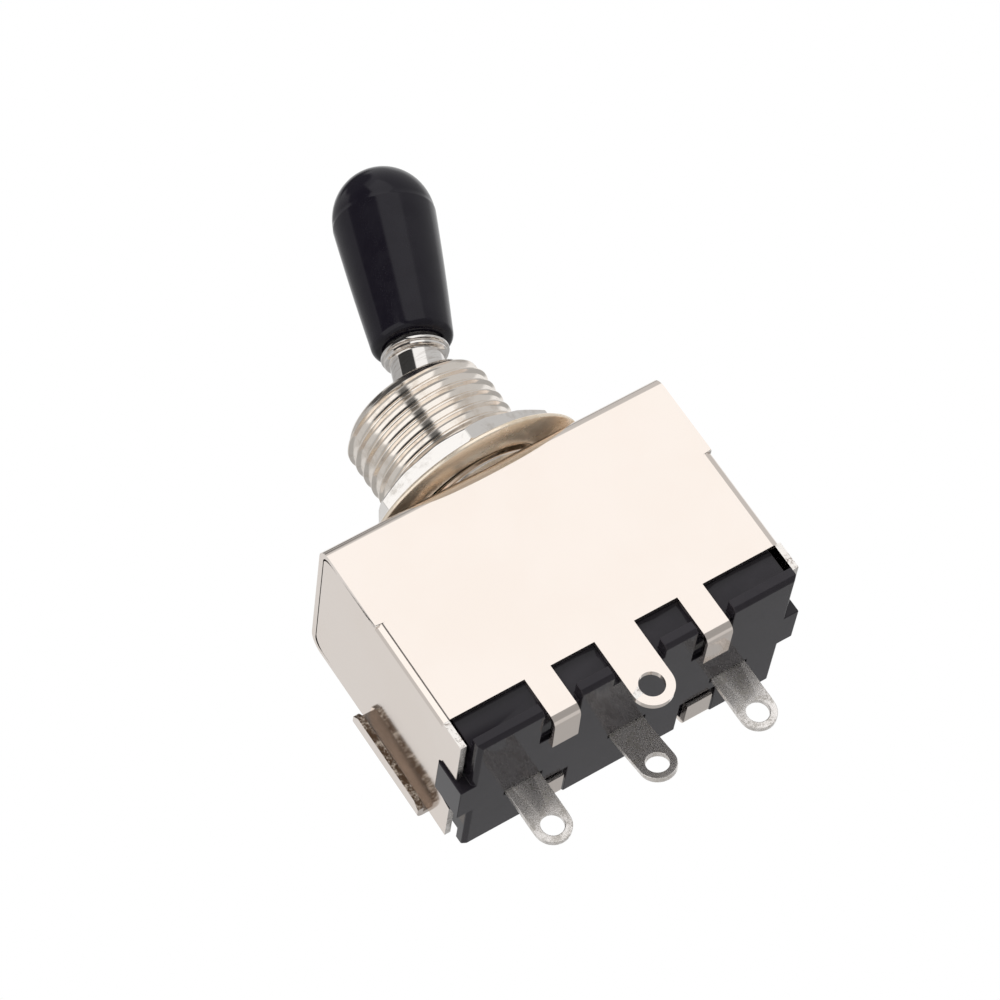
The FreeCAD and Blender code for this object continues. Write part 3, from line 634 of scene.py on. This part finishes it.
@dataclass
class Shell:
    """The folded sheet box with its flaps, tabs and ground lug.

    Attributes:
        sheet: thickness of the sheet.
        width: over the side flaps.
        half_depth: from the middle to the front face.
        strip: half the width of the solids' top and front face.
        butt: from the middle to the plane where a flap meets the front face.
        fold: depth at which the top's folds end.
        relief: depth at which the folds of the flaps begin.
        slit: how far the front face's foot stands clear above each of them.
        corner: from the middle to where a flap's upper front corner begins.
        tucked: share of that corner's reach that lies behind the front face.
        eye: depth of the middle of the ground lug's eye.
        lug: depth that only the lug reaches.
        droop: how far the left front tab hangs below its fellow.
        flare: how far the left flap's rear foot stands out.
        bevel: how far the sheet's edges are broken.
    """

    sheet: float = 0.5
    width: float = 29.0
    half_depth: float = 7.1
    strip: float = 13.95
    butt: float = 13.75
    fold: float = 1.3
    relief: float = 7.5
    slit: float = 0.08
    corner: float = 5.75
    tucked: float = 0.615
    eye: float = 21.3
    lug: float = 22.0
    droop: float = 0.12
    flare: float = 0.22
    bevel: float = 0.05

    def build(self, frame: dict) -> bpy.types.Object:
        """Make the shell.

        Args:
            frame: the loaded frame.

        Returns:
            The piece.
        """
        piece = Piece(
            "shell_box",
            Body.HOUSING,
            [SHELL_NICKEL, CUT_EDGE, TRIMMED_EDGE],
            "bright_nickel",
            ("shell", "front_face", "back_face", "flap_left", "flap_right"),
            self.bevel,
        )
        self.lay_sheets(piece, frame)
        self.join_sheets(piece.mesh)
        self.mark_edges(piece.mesh)
        self.bend_by_hand(piece.mesh)
        return piece.finish()

    def lay_sheets(self, piece: Piece, frame: dict) -> None:
        """Copy the solids, with the top and the front face drawn out over the flaps.

        Args:
            piece: the shell.
            frame: the loaded frame.
        """
        whole = piece.mesh
        for name in piece.stands_for:
            part = Piece(name, Body.HOUSING, [], piece.slot, (name,))
            part.take_solid(frame)
            for vert in part.mesh.verts:
                x, y, z = (value / MM for value in vert.co)
                if name in ("shell", "front_face") and abs(abs(x) - self.strip) < NEAR:
                    vert.co.x = math.copysign(self.width / 2, x) * MM
                    if abs(z + self.relief) < NEAR:
                        vert.co.z += self.slit * MM
                if name.startswith("flap") and y < -self.corner and z > NEAR - self.relief:
                    vert.co.y = (-self.corner + (y + self.corner) * self.tucked) * MM
            data = bpy.data.meshes.new(name)
            part.mesh.to_mesh(data)
            part.mesh.free()
            whole.from_mesh(data)
            bpy.data.meshes.remove(data)
        bmesh.ops.remove_doubles(whole, verts=whole.verts, dist=MERGE)

    def join_sheets(self, bm: bmesh.types.BMesh) -> None:
        """Take out the doubled faces where the sheets meet, and cut round the lug's eye.

        Args:
            bm: the shell's mesh.
        """
        inner = self.half_depth - self.sheet - NEAR
        doubled = []
        for face in bm.faces:
            corners = [vert.co / MM for vert in face.verts]
            side = all(
                abs(abs(x) - self.butt) < NEAR and y < -inner and z < NEAR - self.relief
                for x, y, z in corners
            )
            end = all(abs(z + self.fold) < NEAR and abs(y) > inner for x, y, z in corners)
            if side and abs(face.normal.x) > 0.99 or end and abs(face.normal.z) > 0.99:
                doubled.append(face)
        bmesh.ops.delete(bm, geom=doubled, context="FACES_ONLY")
        LOG.info("shell: %d doubled faces taken out", len(doubled))
        join_flat(bm)
        for normal, place in (((1, 0, 0), (0, 0, 0)), ((0, 0, 1), (0, 0, -self.eye))):
            lug = [
                face
                for face in bm.faces
                if face.calc_center_median().y < -inner * MM
                and min(vert.co.z for vert in face.verts) < -self.lug * MM
            ]
            edges = {edge for face in lug for edge in face.edges}
            verts = {vert for face in lug for vert in face.verts}
            bmesh.ops.bisect_plane(
                bm,
                geom=lug + list(edges) + list(verts),
                dist=1e-6,
                plane_co=Vector(place) * MM,
                plane_no=normal,
            )

    def mark_edges(self, bm: bmesh.types.BMesh) -> None:
        """Give the cut edges of the sheet their own finishes, rougher on the wings.

        Args:
            bm: the shell's mesh.
        """
        widest = 1.06 * self.sheet * MM
        slight, strong = 0.1, 0.5
        wing_begins = self.width / 2 + 0.6
        rough, trimmed = 1, 2
        for face in bm.faces:
            spans = [edge.calc_length() for edge in face.edges]
            thin = face.calc_area() / max(spans) < widest
            bend = any(
                edge.is_manifold and slight < edge.calc_face_angle(0.0) < strong
                for edge in face.edges
            )
            if not thin or bend:
                continue
            centre = face.calc_center_median() / MM
            wing = abs(centre.x) > wing_begins and abs(face.normal.y) > 0.3
            face.material_index = rough if wing else trimmed

    def bend_by_hand(self, bm: bmesh.types.BMesh) -> None:
        """Let one tab droop and one flap flare, as hand closing leaves them.

        Args:
            bm: the shell's mesh.
        """
        tab_left, tab_right, tab_end, tab_top = -8.0, -5.0, -3.2, -19.8
        tab_fold, tab_reach = -6.6, 3.0
        foot_outside, foot_inside, foot_front = -14.6, -13.9, 2.2
        foot_top, foot_reach = -16.5, 2.3
        for vert in bm.verts:
            x, y, z = (value / MM for value in vert.co)
            if tab_left < x < tab_right and y < tab_end and z < tab_top:
                share = min(max((y - tab_fold) / tab_reach, 0.0), 1.0)
                vert.co.z -= self.droop * share * MM
            if foot_outside < x < foot_inside and y > foot_front and z < foot_top:
                share = min((foot_top - z) / foot_reach, 1.0)
                vert.co.x -= self.flare * share * MM


@dataclass
class Bushing:
    """The threaded bushing with a real helical thread.

    Attributes:
        crest: radius over the thread.
        root: radius in its valleys.
        pitch: of the thread.
        height: of the bushing.
        lead: chamfer at its top.
        mouth: radius of its mouth.
        lip: radius and height of the lip over the ball.
        throat: radius round the ball.
        throat_top: height at which the throat begins under the lip.
        seat: height at which the seat ring's bore begins.
        bore: radius of that bore.
        groove: radius of the groove for the open ring.
        groove_span: its upper and lower height.
        foot: height of the rolled rim's underside.
        rim: radius of that rim, under the sheet.
        waist: radius in the sheet's hole.
        ways: size of the block that cuts the ways for the lever's cross pin.
        ways_height: height of its middle.
        steps: faces in one turn.
    """

    crest: float = 6.0
    root: float = 5.66
    pitch: float = 1.08
    height: float = 10.2
    lead: float = 0.9
    mouth: float = 4.05
    lip: tuple[float, float] = (3.04, 7.85)
    throat: float = 3.29
    throat_top: float = 7.22
    seat: float = 5.80
    bore: float = 4.60
    groove: float = 4.90
    groove_span: tuple[float, float] = (2.90, 2.45)
    foot: float = -1.10
    rim: float = 5.80
    waist: float = 5.50
    ways: Place = (1.56, 9.2, 1.9)
    ways_height: float = 6.33
    steps: int = 120

    def build(self) -> bpy.types.Object:
        """Make the bushing.

        Returns:
            The piece.
        """
        piece = Piece(
            "bushing_threaded",
            Body.HOUSING,
            [THREAD_NICKEL],
            "bushing_nickel",
            ("bushing",),
            sharp=50.0,
        )
        self.wind(piece.mesh)
        self.close(piece)
        self.cut_ways(piece.mesh)
        return piece.finish()

    def tooth(self) -> Profile:
        """One pitch of the thread: crest, flank, wide valley, flank.

        Returns:
            Its points, from the valley below the crest to the end of the valley above.
        """
        p, crest, root = self.pitch, self.crest, self.root
        return [
            (root, -0.33 * p),
            (root + 0.03, -0.24 * p),
            (root + 0.10, -0.17 * p),
            (crest - 0.06, -0.09 * p),
            (crest, -0.045 * p),
            (crest, 0.045 * p),
            (crest - 0.06, 0.09 * p),
            (root + 0.10, 0.17 * p),
            (root + 0.03, 0.24 * p),
            (root, 0.33 * p),
            (root, 0.67 * p),
        ]

    def wind(self, bm: bmesh.types.BMesh) -> None:
        """Wind the thread, turn its lead and trim its ends.

        Args:
            bm: the mesh to wind it in.
        """
        spare_turns, top_trim, foot_trim, weld = 3, 0.12, 0.02, 3e-6
        turns = math.ceil(self.height / self.pitch) + spare_turns
        low = -2.0 * self.pitch
        verts = [bm.verts.new((r * MM, 0, (z + low) * MM)) for r, z in self.tooth()]
        edges = [bm.edges.new(pair) for pair in zip(verts, verts[1:])]
        bmesh.ops.spin(
            bm,
            geom=verts + edges,
            cent=(0, 0, 0),
            axis=(0, 0, 1),
            dvec=(0, 0, self.pitch * MM / self.steps),
            angle=2 * math.pi * turns,
            steps=self.steps * turns,
            use_merge=False,
        )
        bmesh.ops.remove_doubles(bm, verts=bm.verts, dist=weld)
        shoulder = self.height - self.lead
        for vert in bm.verts:
            radius = math.hypot(vert.co.x, vert.co.y)
            limit = (self.crest - (vert.co.z / MM - shoulder)) * MM
            if vert.co.z > shoulder * MM and radius > limit:
                vert.co.x *= limit / radius
                vert.co.y *= limit / radius
        for height, side in ((self.height - top_trim, 1), (foot_trim, -1)):
            bmesh.ops.bisect_plane(
                bm,
                geom=bm.verts[:] + bm.edges[:] + bm.faces[:],
                dist=SEAM,
                plane_co=(0, 0, height * MM),
                plane_no=(0, 0, side),
                clear_outer=True,
            )

    def close(self, piece: Piece) -> None:
        """Add the mouth, the bore and the rolled rim, and join them to the thread.

        Args:
            piece: the bushing.
        """
        bm = piece.mesh
        outer = self.crest - self.lead
        groove_top, groove_foot = self.groove_span
        inner = softened(
            [
                (outer + 0.02, self.height - 0.06),
                (outer - 0.06, self.height),
                (self.mouth, self.height),
                self.lip,
                (self.throat, self.throat_top),
                (self.throat, self.seat),
                (self.bore, self.seat),
                (self.bore, groove_top),
                (self.groove, groove_top),
                (self.groove, groove_foot),
                (self.bore, groove_foot),
                (self.bore, self.foot),
                (self.rim, self.foot),
                (self.rim, -0.52),
                (self.waist, -0.50),
                (self.waist, 0.0),
            ],
            radius=0.08,
            closed=False,
        )
        before = set(bm.edges)
        piece.lathe(inner, self.steps, closed=False)
        middle = self.height * MM / 2
        ends = [edge for edge in bm.edges if edge.is_boundary]
        for upper in (True, False):
            rims = [edge for edge in ends if (edge.verts[0].co.z > middle) == upper]
            rims.sort(key=lambda edge: edge not in before)
            bmesh.ops.bridge_loops(bm, edges=rims)

    def cut_ways(self, bm: bmesh.types.BMesh) -> None:
        """Cut the two ways in which the lever's cross pin sits.

        Args:
            bm: the bushing's mesh.
        """
        block = bmesh.new()
        bmesh.ops.create_cube(block, size=1.0)
        bmesh.ops.scale(block, verts=block.verts, vec=Vector(self.ways) * MM)
        bmesh.ops.translate(block, verts=block.verts, vec=Vector((0, 0, self.ways_height)) * MM)
        bmesh.ops.recalc_face_normals(bm, faces=bm.faces)
        meshes = []
        for name, source in (("bushing_blank", bm), ("pin_ways", block)):
            data = bpy.data.meshes.new(name)
            source.to_mesh(data)
            meshes.append(data)
        block.free()
        blank, cutter = (bpy.data.objects.new(data.name, data) for data in meshes)
        for item in (blank, cutter):
            bpy.context.scene.collection.objects.link(item)
        cut = blank.modifiers.new("ways", "BOOLEAN")
        cut.operation = "DIFFERENCE"
        cut.solver = "EXACT"
        cut.object = cutter
        bpy.context.view_layer.update()
        result = bpy.data.meshes.new_from_object(
            blank.evaluated_get(bpy.context.evaluated_depsgraph_get())
        )
        bm.clear()
        bm.from_mesh(result)
        for item in (blank, cutter):
            bpy.data.objects.remove(item)
        for data in (*meshes, result):
            bpy.data.meshes.remove(data)


@dataclass
class NutAndWasher:
    """The hex nut and the flat washer under it.

    Attributes:
        hole: radius of the washer's hole.
        edge: outer radius of the washer.
        low: height of its underside.
        thick: its thickness.
        rolled: how far the punch has rolled its upper corners.
        burr: how far its lower corners are broken.
        nut_bevel: how far the nut's edges are rounded.
    """

    hole: float = 6.2
    edge: float = 9.3
    low: float = 0.75
    thick: float = 0.4
    rolled: float = 0.14
    burr: float = 0.05
    nut_bevel: float = 0.07

    def build(self, frame: dict) -> list[bpy.types.Object]:
        """Make both.

        Args:
            frame: the loaded frame.

        Returns:
            The pieces.
        """
        nut = Piece(
            "nut_hex", Body.HOUSING, [NUT_NICKEL], "bushing_nickel", ("hex_nut",), self.nut_bevel
        )
        nut.take_solid(frame)
        washer = Piece(
            "washer_flat", Body.HOUSING, [WASHER_NICKEL], "washer_nickel", ("flat_washer",)
        )
        high = self.low + self.thick
        corners = [
            (self.hole + self.burr, self.low),
            (self.edge - self.burr, self.low),
            (self.edge, self.low + self.burr),
            (self.edge, high - self.rolled),
            (self.edge - self.rolled, high),
            (self.hole + self.rolled, high),
            (self.hole, high - self.rolled),
            (self.hole, self.low + self.burr),
        ]
        washer.lathe(softened(corners, radius=0.04), steps=160)
        return [nut.finish(), washer.finish()]


@dataclass
class Lever:
    """The turned lever, drawn from its pivot, with its knob.

    Attributes:
        pivot: height of the pivot.
        throw: tilt at rest, in degrees.
        stem: radius of the stem.
        ball: radius of the ball.
        shank: radius of the shank below the ball.
        tail: radius of the pin at its end, which the roller turns on.
        tail_top: height at which that pin begins.
        tail_end: height of its end.
        collar: height at which the collar begins.
        stud: radius of the stud in the knob.
        stud_length: its length above the knob's foot.
        foot: height of the knob's foot.
        belly: height of the knob's widest place.
        crown: height of its top.
        foot_radius: of the knob.
        foot_rounding: radius of the knob's lower edge.
        belly_radius: of the knob.
        bow: how far the knob's side swells between them.
        bore: radius of the knob's bore.
        bore_length: its length.
    """

    pivot: float = 6.5
    throw: float = 21.0
    stem: float = 2.1
    ball: float = 3.2
    shank: float = 1.3
    tail: float = 0.9
    tail_top: float = -11.8
    tail_end: float = -14.35
    collar: float = 7.2
    stud: float = 1.85
    stud_length: float = 9.05
    foot: float = 8.25
    belly: float = 19.8
    crown: float = 24.1
    foot_radius: float = 3.2
    foot_rounding: float = 0.75
    belly_radius: float = 4.03
    bow: float = 0.05
    bore: float = 1.9
    bore_length: float = 9.1

    def build(self) -> list[bpy.types.Object]:
        """Make the lever and its knob.

        Returns:
            The pieces.
        """
        return [self.turn_lever(), self.mould_knob()]

    def turn_lever(self) -> bpy.types.Object:
        """Turn the steel part.

        Returns:
            The piece.
        """
        piece = Piece("lever_turned", Body.LEVER, [LEVER_STEEL], "lever_steel", ("lever",))
        cut = math.degrees(math.acos(self.stem / self.ball))
        low = -self.ball * math.sin(math.radians(cut))
        stud_end = self.foot + self.stud_length
        shaft = softened(
            [
                (self.tail, self.tail_end),
                (self.tail, self.tail_top),
                (self.shank, self.tail_top),
                (self.shank, low),
            ],
            radius=0.06,
            closed=False,
        )
        rings = (
            (0.0, -0.04),
            (0.06, 0.0),
            (0.30, 0.02),
            (0.38, 0.08),
            (0.38, 0.24),
            (0.32, 0.31),
            (0.24, 0.34),
            (0.44, 0.36),
            (0.53, 0.41),
            (0.55, 0.48),
            (0.53, 0.60),
            (0.42, 0.71),
            (0.20, 0.75),
            (0.04, 0.77),
            (0.0, 0.82),
        )
        neck = [(self.stem + out, self.collar + up) for out, up in rings]
        stud = softened(
            [(self.stem, self.foot), (self.stud, self.foot), (self.stud, stud_end)],
            radius=0.04,
            closed=False,
        )
        ball = arc((0, 0), self.ball, -cut, cut, steps=28)
        profile = [(0.0, self.tail_end)] + shaft + ball + neck + stud + [(0.0, stud_end)]
        piece.lathe(profile, steps=112, closed=False)
        piece.tilt(self.pivot, self.throw)
        return piece.finish()

    def mould_knob(self) -> bpy.types.Object:
        """Mould the black tip.

        Returns:
            The piece.
        """
        piece = Piece("knob_moulded", Body.LEVER, [BLACK_TIP], "black_tip", ("knob",), sharp=60.0)
        edge, rounding = self.foot_radius, self.foot_rounding
        foot = [(self.bore, self.foot), (self.bore + 0.35, self.foot)]
        foot += arc((edge - rounding, self.foot + rounding), rounding, -90, -4, steps=10)
        rise = self.belly - self.foot
        side = []
        side_steps = 12
        for step in range(1, side_steps + 1):
            share = step / side_steps
            bow = self.bow * math.sin(math.pi * share)
            radius = edge + (self.belly_radius - edge) * share + bow
            side.append((radius, self.foot + rounding + (rise - rounding - 0.1) * share))
        dome_radius, dome_foot = self.belly_radius - 0.03, self.belly + 0.06
        crease = [(self.belly_radius, self.belly - 0.02), (dome_radius, dome_foot)]
        dome = []
        dome_steps, fullness = 20, 0.96
        for step in range(1, dome_steps):
            angle = math.pi / 2 * step / dome_steps
            radius = dome_radius * math.cos(angle) ** fullness
            dome.append((radius, dome_foot + (self.crown - dome_foot) * math.sin(angle)))
        deep = self.foot + self.bore_length
        inside = [(0.0, deep), (self.bore, deep)]
        profile = inside + foot + side + crease + dome + [(0.0, self.crown)]
        piece.lathe(profile, steps=128, closed=False)
        piece.tilt(self.pivot, self.throw)
        return piece.finish()


@dataclass
class Base:
    """The moulded base that closes the shell.

    Attributes:
        bevel: how far its edges are rounded.
    """

    bevel: float = 0.07

    def build(self, frame: dict) -> bpy.types.Object:
        """Make the base.

        Args:
            frame: the loaded frame.

        Returns:
            The piece.
        """
        piece = Piece(
            "base_moulded", Body.HOUSING, [BLACK_BASE], "black_base", ("base",), self.bevel
        )
        piece.take_solid(frame)
        return piece.finish()


@dataclass
class Terminals:
    """The three solder terminals.

    Attributes:
        names: their nodes.
        bevel: how far their edges are rounded.
    """

    names: tuple[str, ...] = ("terminal_left", "terminal_centre", "terminal_right")
    bevel: float = 0.06

    def build(self, frame: dict) -> list[bpy.types.Object]:
        """Make all three.

        Args:
            frame: the loaded frame.

        Returns:
            The pieces.
        """
        made = []
        for name in self.names:
            piece = Piece(
                f"{name}_tinned", Body.HOUSING, [TERMINAL_TIN], "terminal_tin", (name,), self.bevel
            )
            piece.take_solid(frame)
            made.append(piece.finish())
        return made


@dataclass
class Insides:
    """The pieces inside the shell, which keep their solids' shapes.

    Attributes:
        finishes: each node's finish.
    """

    finishes: dict[str, Finish] = field(
        default_factory=lambda: {
            "seat_ring": WHITE_NYLON,
            "circlip": SPRING_STEEL,
            "pivot_pin": SPRING_STEEL,
            "tip_cap": WHITE_NYLON,
            "guide_plate": BROWN_BOARD,
            "slider": SLIDER_NYLON,
            "wiper": CONTACT_BRONZE,
            "wiper_spring": SPRING_STEEL,
            "detent_plunger": SPRING_STEEL,
            "detent_spring": CONTACT_BRONZE,
        }
    )

    def dress(self, frame: dict) -> None:
        """Put each node's finish in its material slots.

        Args:
            frame: the loaded frame.
        """
        for name, finish in self.finishes.items():
            for slot in frame["nodes"][name].material_slots:
                slot.material = finish.material()


# Studio


@dataclass(frozen=True)
class Panel:
    """A soft panel in the surroundings, by its direction from the object.

    Attributes:
        turn: its two sides, in degrees round from +X.
        rise: its lower and upper edge, in degrees above the horizon.
        soft_turn: how far its sides fade.
        soft_rise: how far its lower and upper edges fade.
        level: its brightness, where white is 1.
    """

    turn: tuple[float, float]
    rise: tuple[float, float]
    soft_turn: float
    soft_rise: float
    level: float

    def share(self, nodes: Nodes, turn: Socket, rise: Socket) -> Socket:
        """How much of a direction the panel fills.

        Args:
            nodes: the world's node tree.
            turn: socket of the direction's turn.
            rise: socket of its rise.

        Returns:
            The socket that carries it.
        """
        result = None
        for value, (low, high), soft in (
            (turn, self.turn, self.soft_turn),
            (rise, self.rise, self.soft_rise),
        ):
            for part in (
                nodes.spread(value, low - soft, low),
                nodes.spread(value, high, high + soft, 1.0, 0.0),
            ):
                result = nodes.math("MULTIPLY", result, part) if result else part
        return result


@dataclass
class Studio:
    """Camera, floor, lamps and surroundings.

    Attributes:
        eye: the camera's place in metres.
        right: the camera's right-hand direction.
        down: its downward direction.
        forward: its view direction.
        lens: focal length in millimetres.
        sensor: width of the sensor in millimetres.
        floor_height: height of the floor in metres.
        floor_radius: its radius in metres.
        key: the main lamp's place in metres, its size in metres and its power in watts.
        fill: the same of the second lamp.
        wash: brightness of the surroundings as light on dull surfaces.
        plain: their brightness in shining surfaces, outside the panels.
        panels: what shining surfaces see round the object, later ones over earlier.
    """

    eye: Place = (-0.1086, -0.2890, -0.1264)
    right: Place = (0.8375, -0.0831, -0.5400)
    down: Place = (-0.4358, 0.4945, -0.7520)
    forward: Place = (0.3295, 0.8652, 0.3780)
    lens: float = 162.25
    sensor: float = 36.0
    floor_height: float = -0.26
    floor_radius: float = 3.0
    key: tuple[Place, float, float] = ((-0.35, -0.55, 0.55), 0.5, 5.2)
    fill: tuple[Place, float, float] = ((0.55, -0.35, 0.30), 0.6, 2.2)
    wash: float = 0.72
    plain: float = 0.56
    panels: tuple[Panel, ...] = (
        Panel((85.0, 176.0), (34.0, 60.0), 8.0, 8.0, 0.42),
        Panel((30.0, 82.0), (-4.0, 44.0), 10.0, 8.0, 0.85),
        Panel((10.0, 120.0), (-60.0, -9.0), 12.0, 6.0, 0.40),
        Panel((-94.0, -52.0), (4.0, 56.0), 5.0, 8.0, 1.0),
        Panel((-104.0, -40.0), (-60.0, -2.0), 6.0, 6.0, 0.34),
        Panel((96.0, 122.0), (8.0, 32.0), 8.0, 6.0, 0.68),
        Panel((-174.0, -118.0), (-12.0, 25.0), 8.0, 4.0, 1.05),
        Panel((-111.0, -100.0), (-12.0, 34.0), 5.0, 4.0, 0.12),
        Panel((-172.0, -98.0), (31.0, 90.0), 6.0, 4.0, 0.04),
        Panel((48.0, 100.0), (60.0, 75.0), 12.0, 5.0, 0.06),
        Panel((-200.0, 200.0), (74.0, 90.0), 5.0, 5.0, 0.08),
    )

    def build(self) -> None:
        """Set everything up."""
        self.place_camera()
        self.lay_floor()
        self.hang_lamps()
        self.surround()
        bpy.context.scene.view_settings.view_transform = "Standard"

    def place_camera(self) -> None:
        """Put the camera where the photograph was taken from."""
        data = bpy.data.cameras.new("camera")
        data.lens = self.lens
        data.sensor_width = self.sensor
        data.clip_start = 0.01
        data.clip_end = 20.0
        camera = bpy.data.objects.new("camera", data)
        rows = [Vector(self.right), -Vector(self.down), -Vector(self.forward)]
        turn = Matrix(rows).transposed().to_4x4()
        camera.matrix_world = Matrix.Translation(self.eye) @ turn
        bpy.context.scene.collection.objects.link(camera)
        bpy.context.scene.camera = camera

    def lay_floor(self) -> None:
        """Lay a plain pale floor below the object and the camera."""
        bm = bmesh.new()
        bmesh.ops.create_circle(bm, cap_ends=True, segments=96, radius=self.floor_radius)
        bmesh.ops.translate(bm, verts=bm.verts, vec=(0, 0, self.floor_height))
        data = bpy.data.meshes.new("floor")
        bm.to_mesh(data)
        bm.free()
        floor = bpy.data.objects.new("floor", data)
        bpy.context.scene.collection.objects.link(floor)
        made = bpy.data.materials.new("floor_paper")
        made.use_nodes = True
        nodes = Nodes(made.node_tree)
        grain = nodes.noise(nodes.place(), 60.0, 3.0)
        colour = nodes.blend(grain, (0.84, 0.835, 0.825), (0.87, 0.866, 0.858))
        values = {"Base Color": colour, "Roughness": 0.9, "Specular IOR Level": 0.1}
        shader = nodes.add("ShaderNodeBsdfPrincipled", values)
        nodes.add("ShaderNodeOutputMaterial", {"Surface": shader.outputs[0]})
        data.materials.append(made)
        floor.visible_glossy = False

    def hang_lamps(self) -> None:
        """Hang two soft lamps that face the origin."""
        for name, (place, size, power) in (("key", self.key), ("fill", self.fill)):
            data = bpy.data.lights.new(name, "AREA")
            data.shape = "DISK"
            data.size = size
            data.energy = power
            lamp = bpy.data.objects.new(name, data)
            turn = Vector(place).normalized().to_track_quat("Z", "Y").to_matrix().to_4x4()
            lamp.matrix_world = Matrix.Translation(place) @ turn
            lamp.visible_glossy = False
            bpy.context.scene.collection.objects.link(lamp)

    def surround(self) -> None:
        """Surround the object with white, and with soft boxes for what shines."""
        world = bpy.data.worlds.new("studio")
        world.use_nodes = True
        bpy.context.scene.world = world
        nodes = Nodes(world.node_tree)
        ray = nodes.add("ShaderNodeLightPath").outputs
        direction = nodes.add("ShaderNodeTexCoord").outputs["Generated"]
        parts = nodes.add("ShaderNodeSeparateXYZ", {0: direction}).outputs
        degrees = math.degrees(1.0)
        turn = nodes.math("MULTIPLY", nodes.math("ARCTAN2", parts[1], parts[0]), degrees)
        rise = nodes.math("MULTIPLY", nodes.math("ARCSINE", parts[2]), degrees)
        level: Value = self.plain
        for panel in self.panels:
            level = nodes.between(panel.share(nodes, turn, rise), level, panel.level)
        soft = nodes.math("MULTIPLY", ray["Is Glossy Ray"], level)
        seen = nodes.math("MAXIMUM", ray["Is Camera Ray"], ray["Is Transmission Ray"])
        shown = nodes.math("MAXIMUM", seen, ray["Is Glossy Ray"])
        lit = nodes.math("MULTIPLY", nodes.math("SUBTRACT", 1.0, shown), self.wash)
        strength = nodes.math("ADD", nodes.math("ADD", lit, soft), seen)
        values = {"Color": (1.0, 1.0, 1.0, 1.0), "Strength": strength}
        background = nodes.add("ShaderNodeBackground", values)
        nodes.add("ShaderNodeOutputWorld", {"Surface": background.outputs[0]})


def main() -> None:
    """Build the scene."""
    logging.basicConfig(level=logging.INFO, format="%(name)s: %(message)s")
    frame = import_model()
    Studio().build()
    Shell().build(frame)
    Bushing().build()
    NutAndWasher().build(frame)
    Lever().build()
    Base().build(frame)
    Terminals().build(frame)
    Insides().dress(frame)
    bpy.context.view_layer.update()


if __name__ == "__main__":
    main()
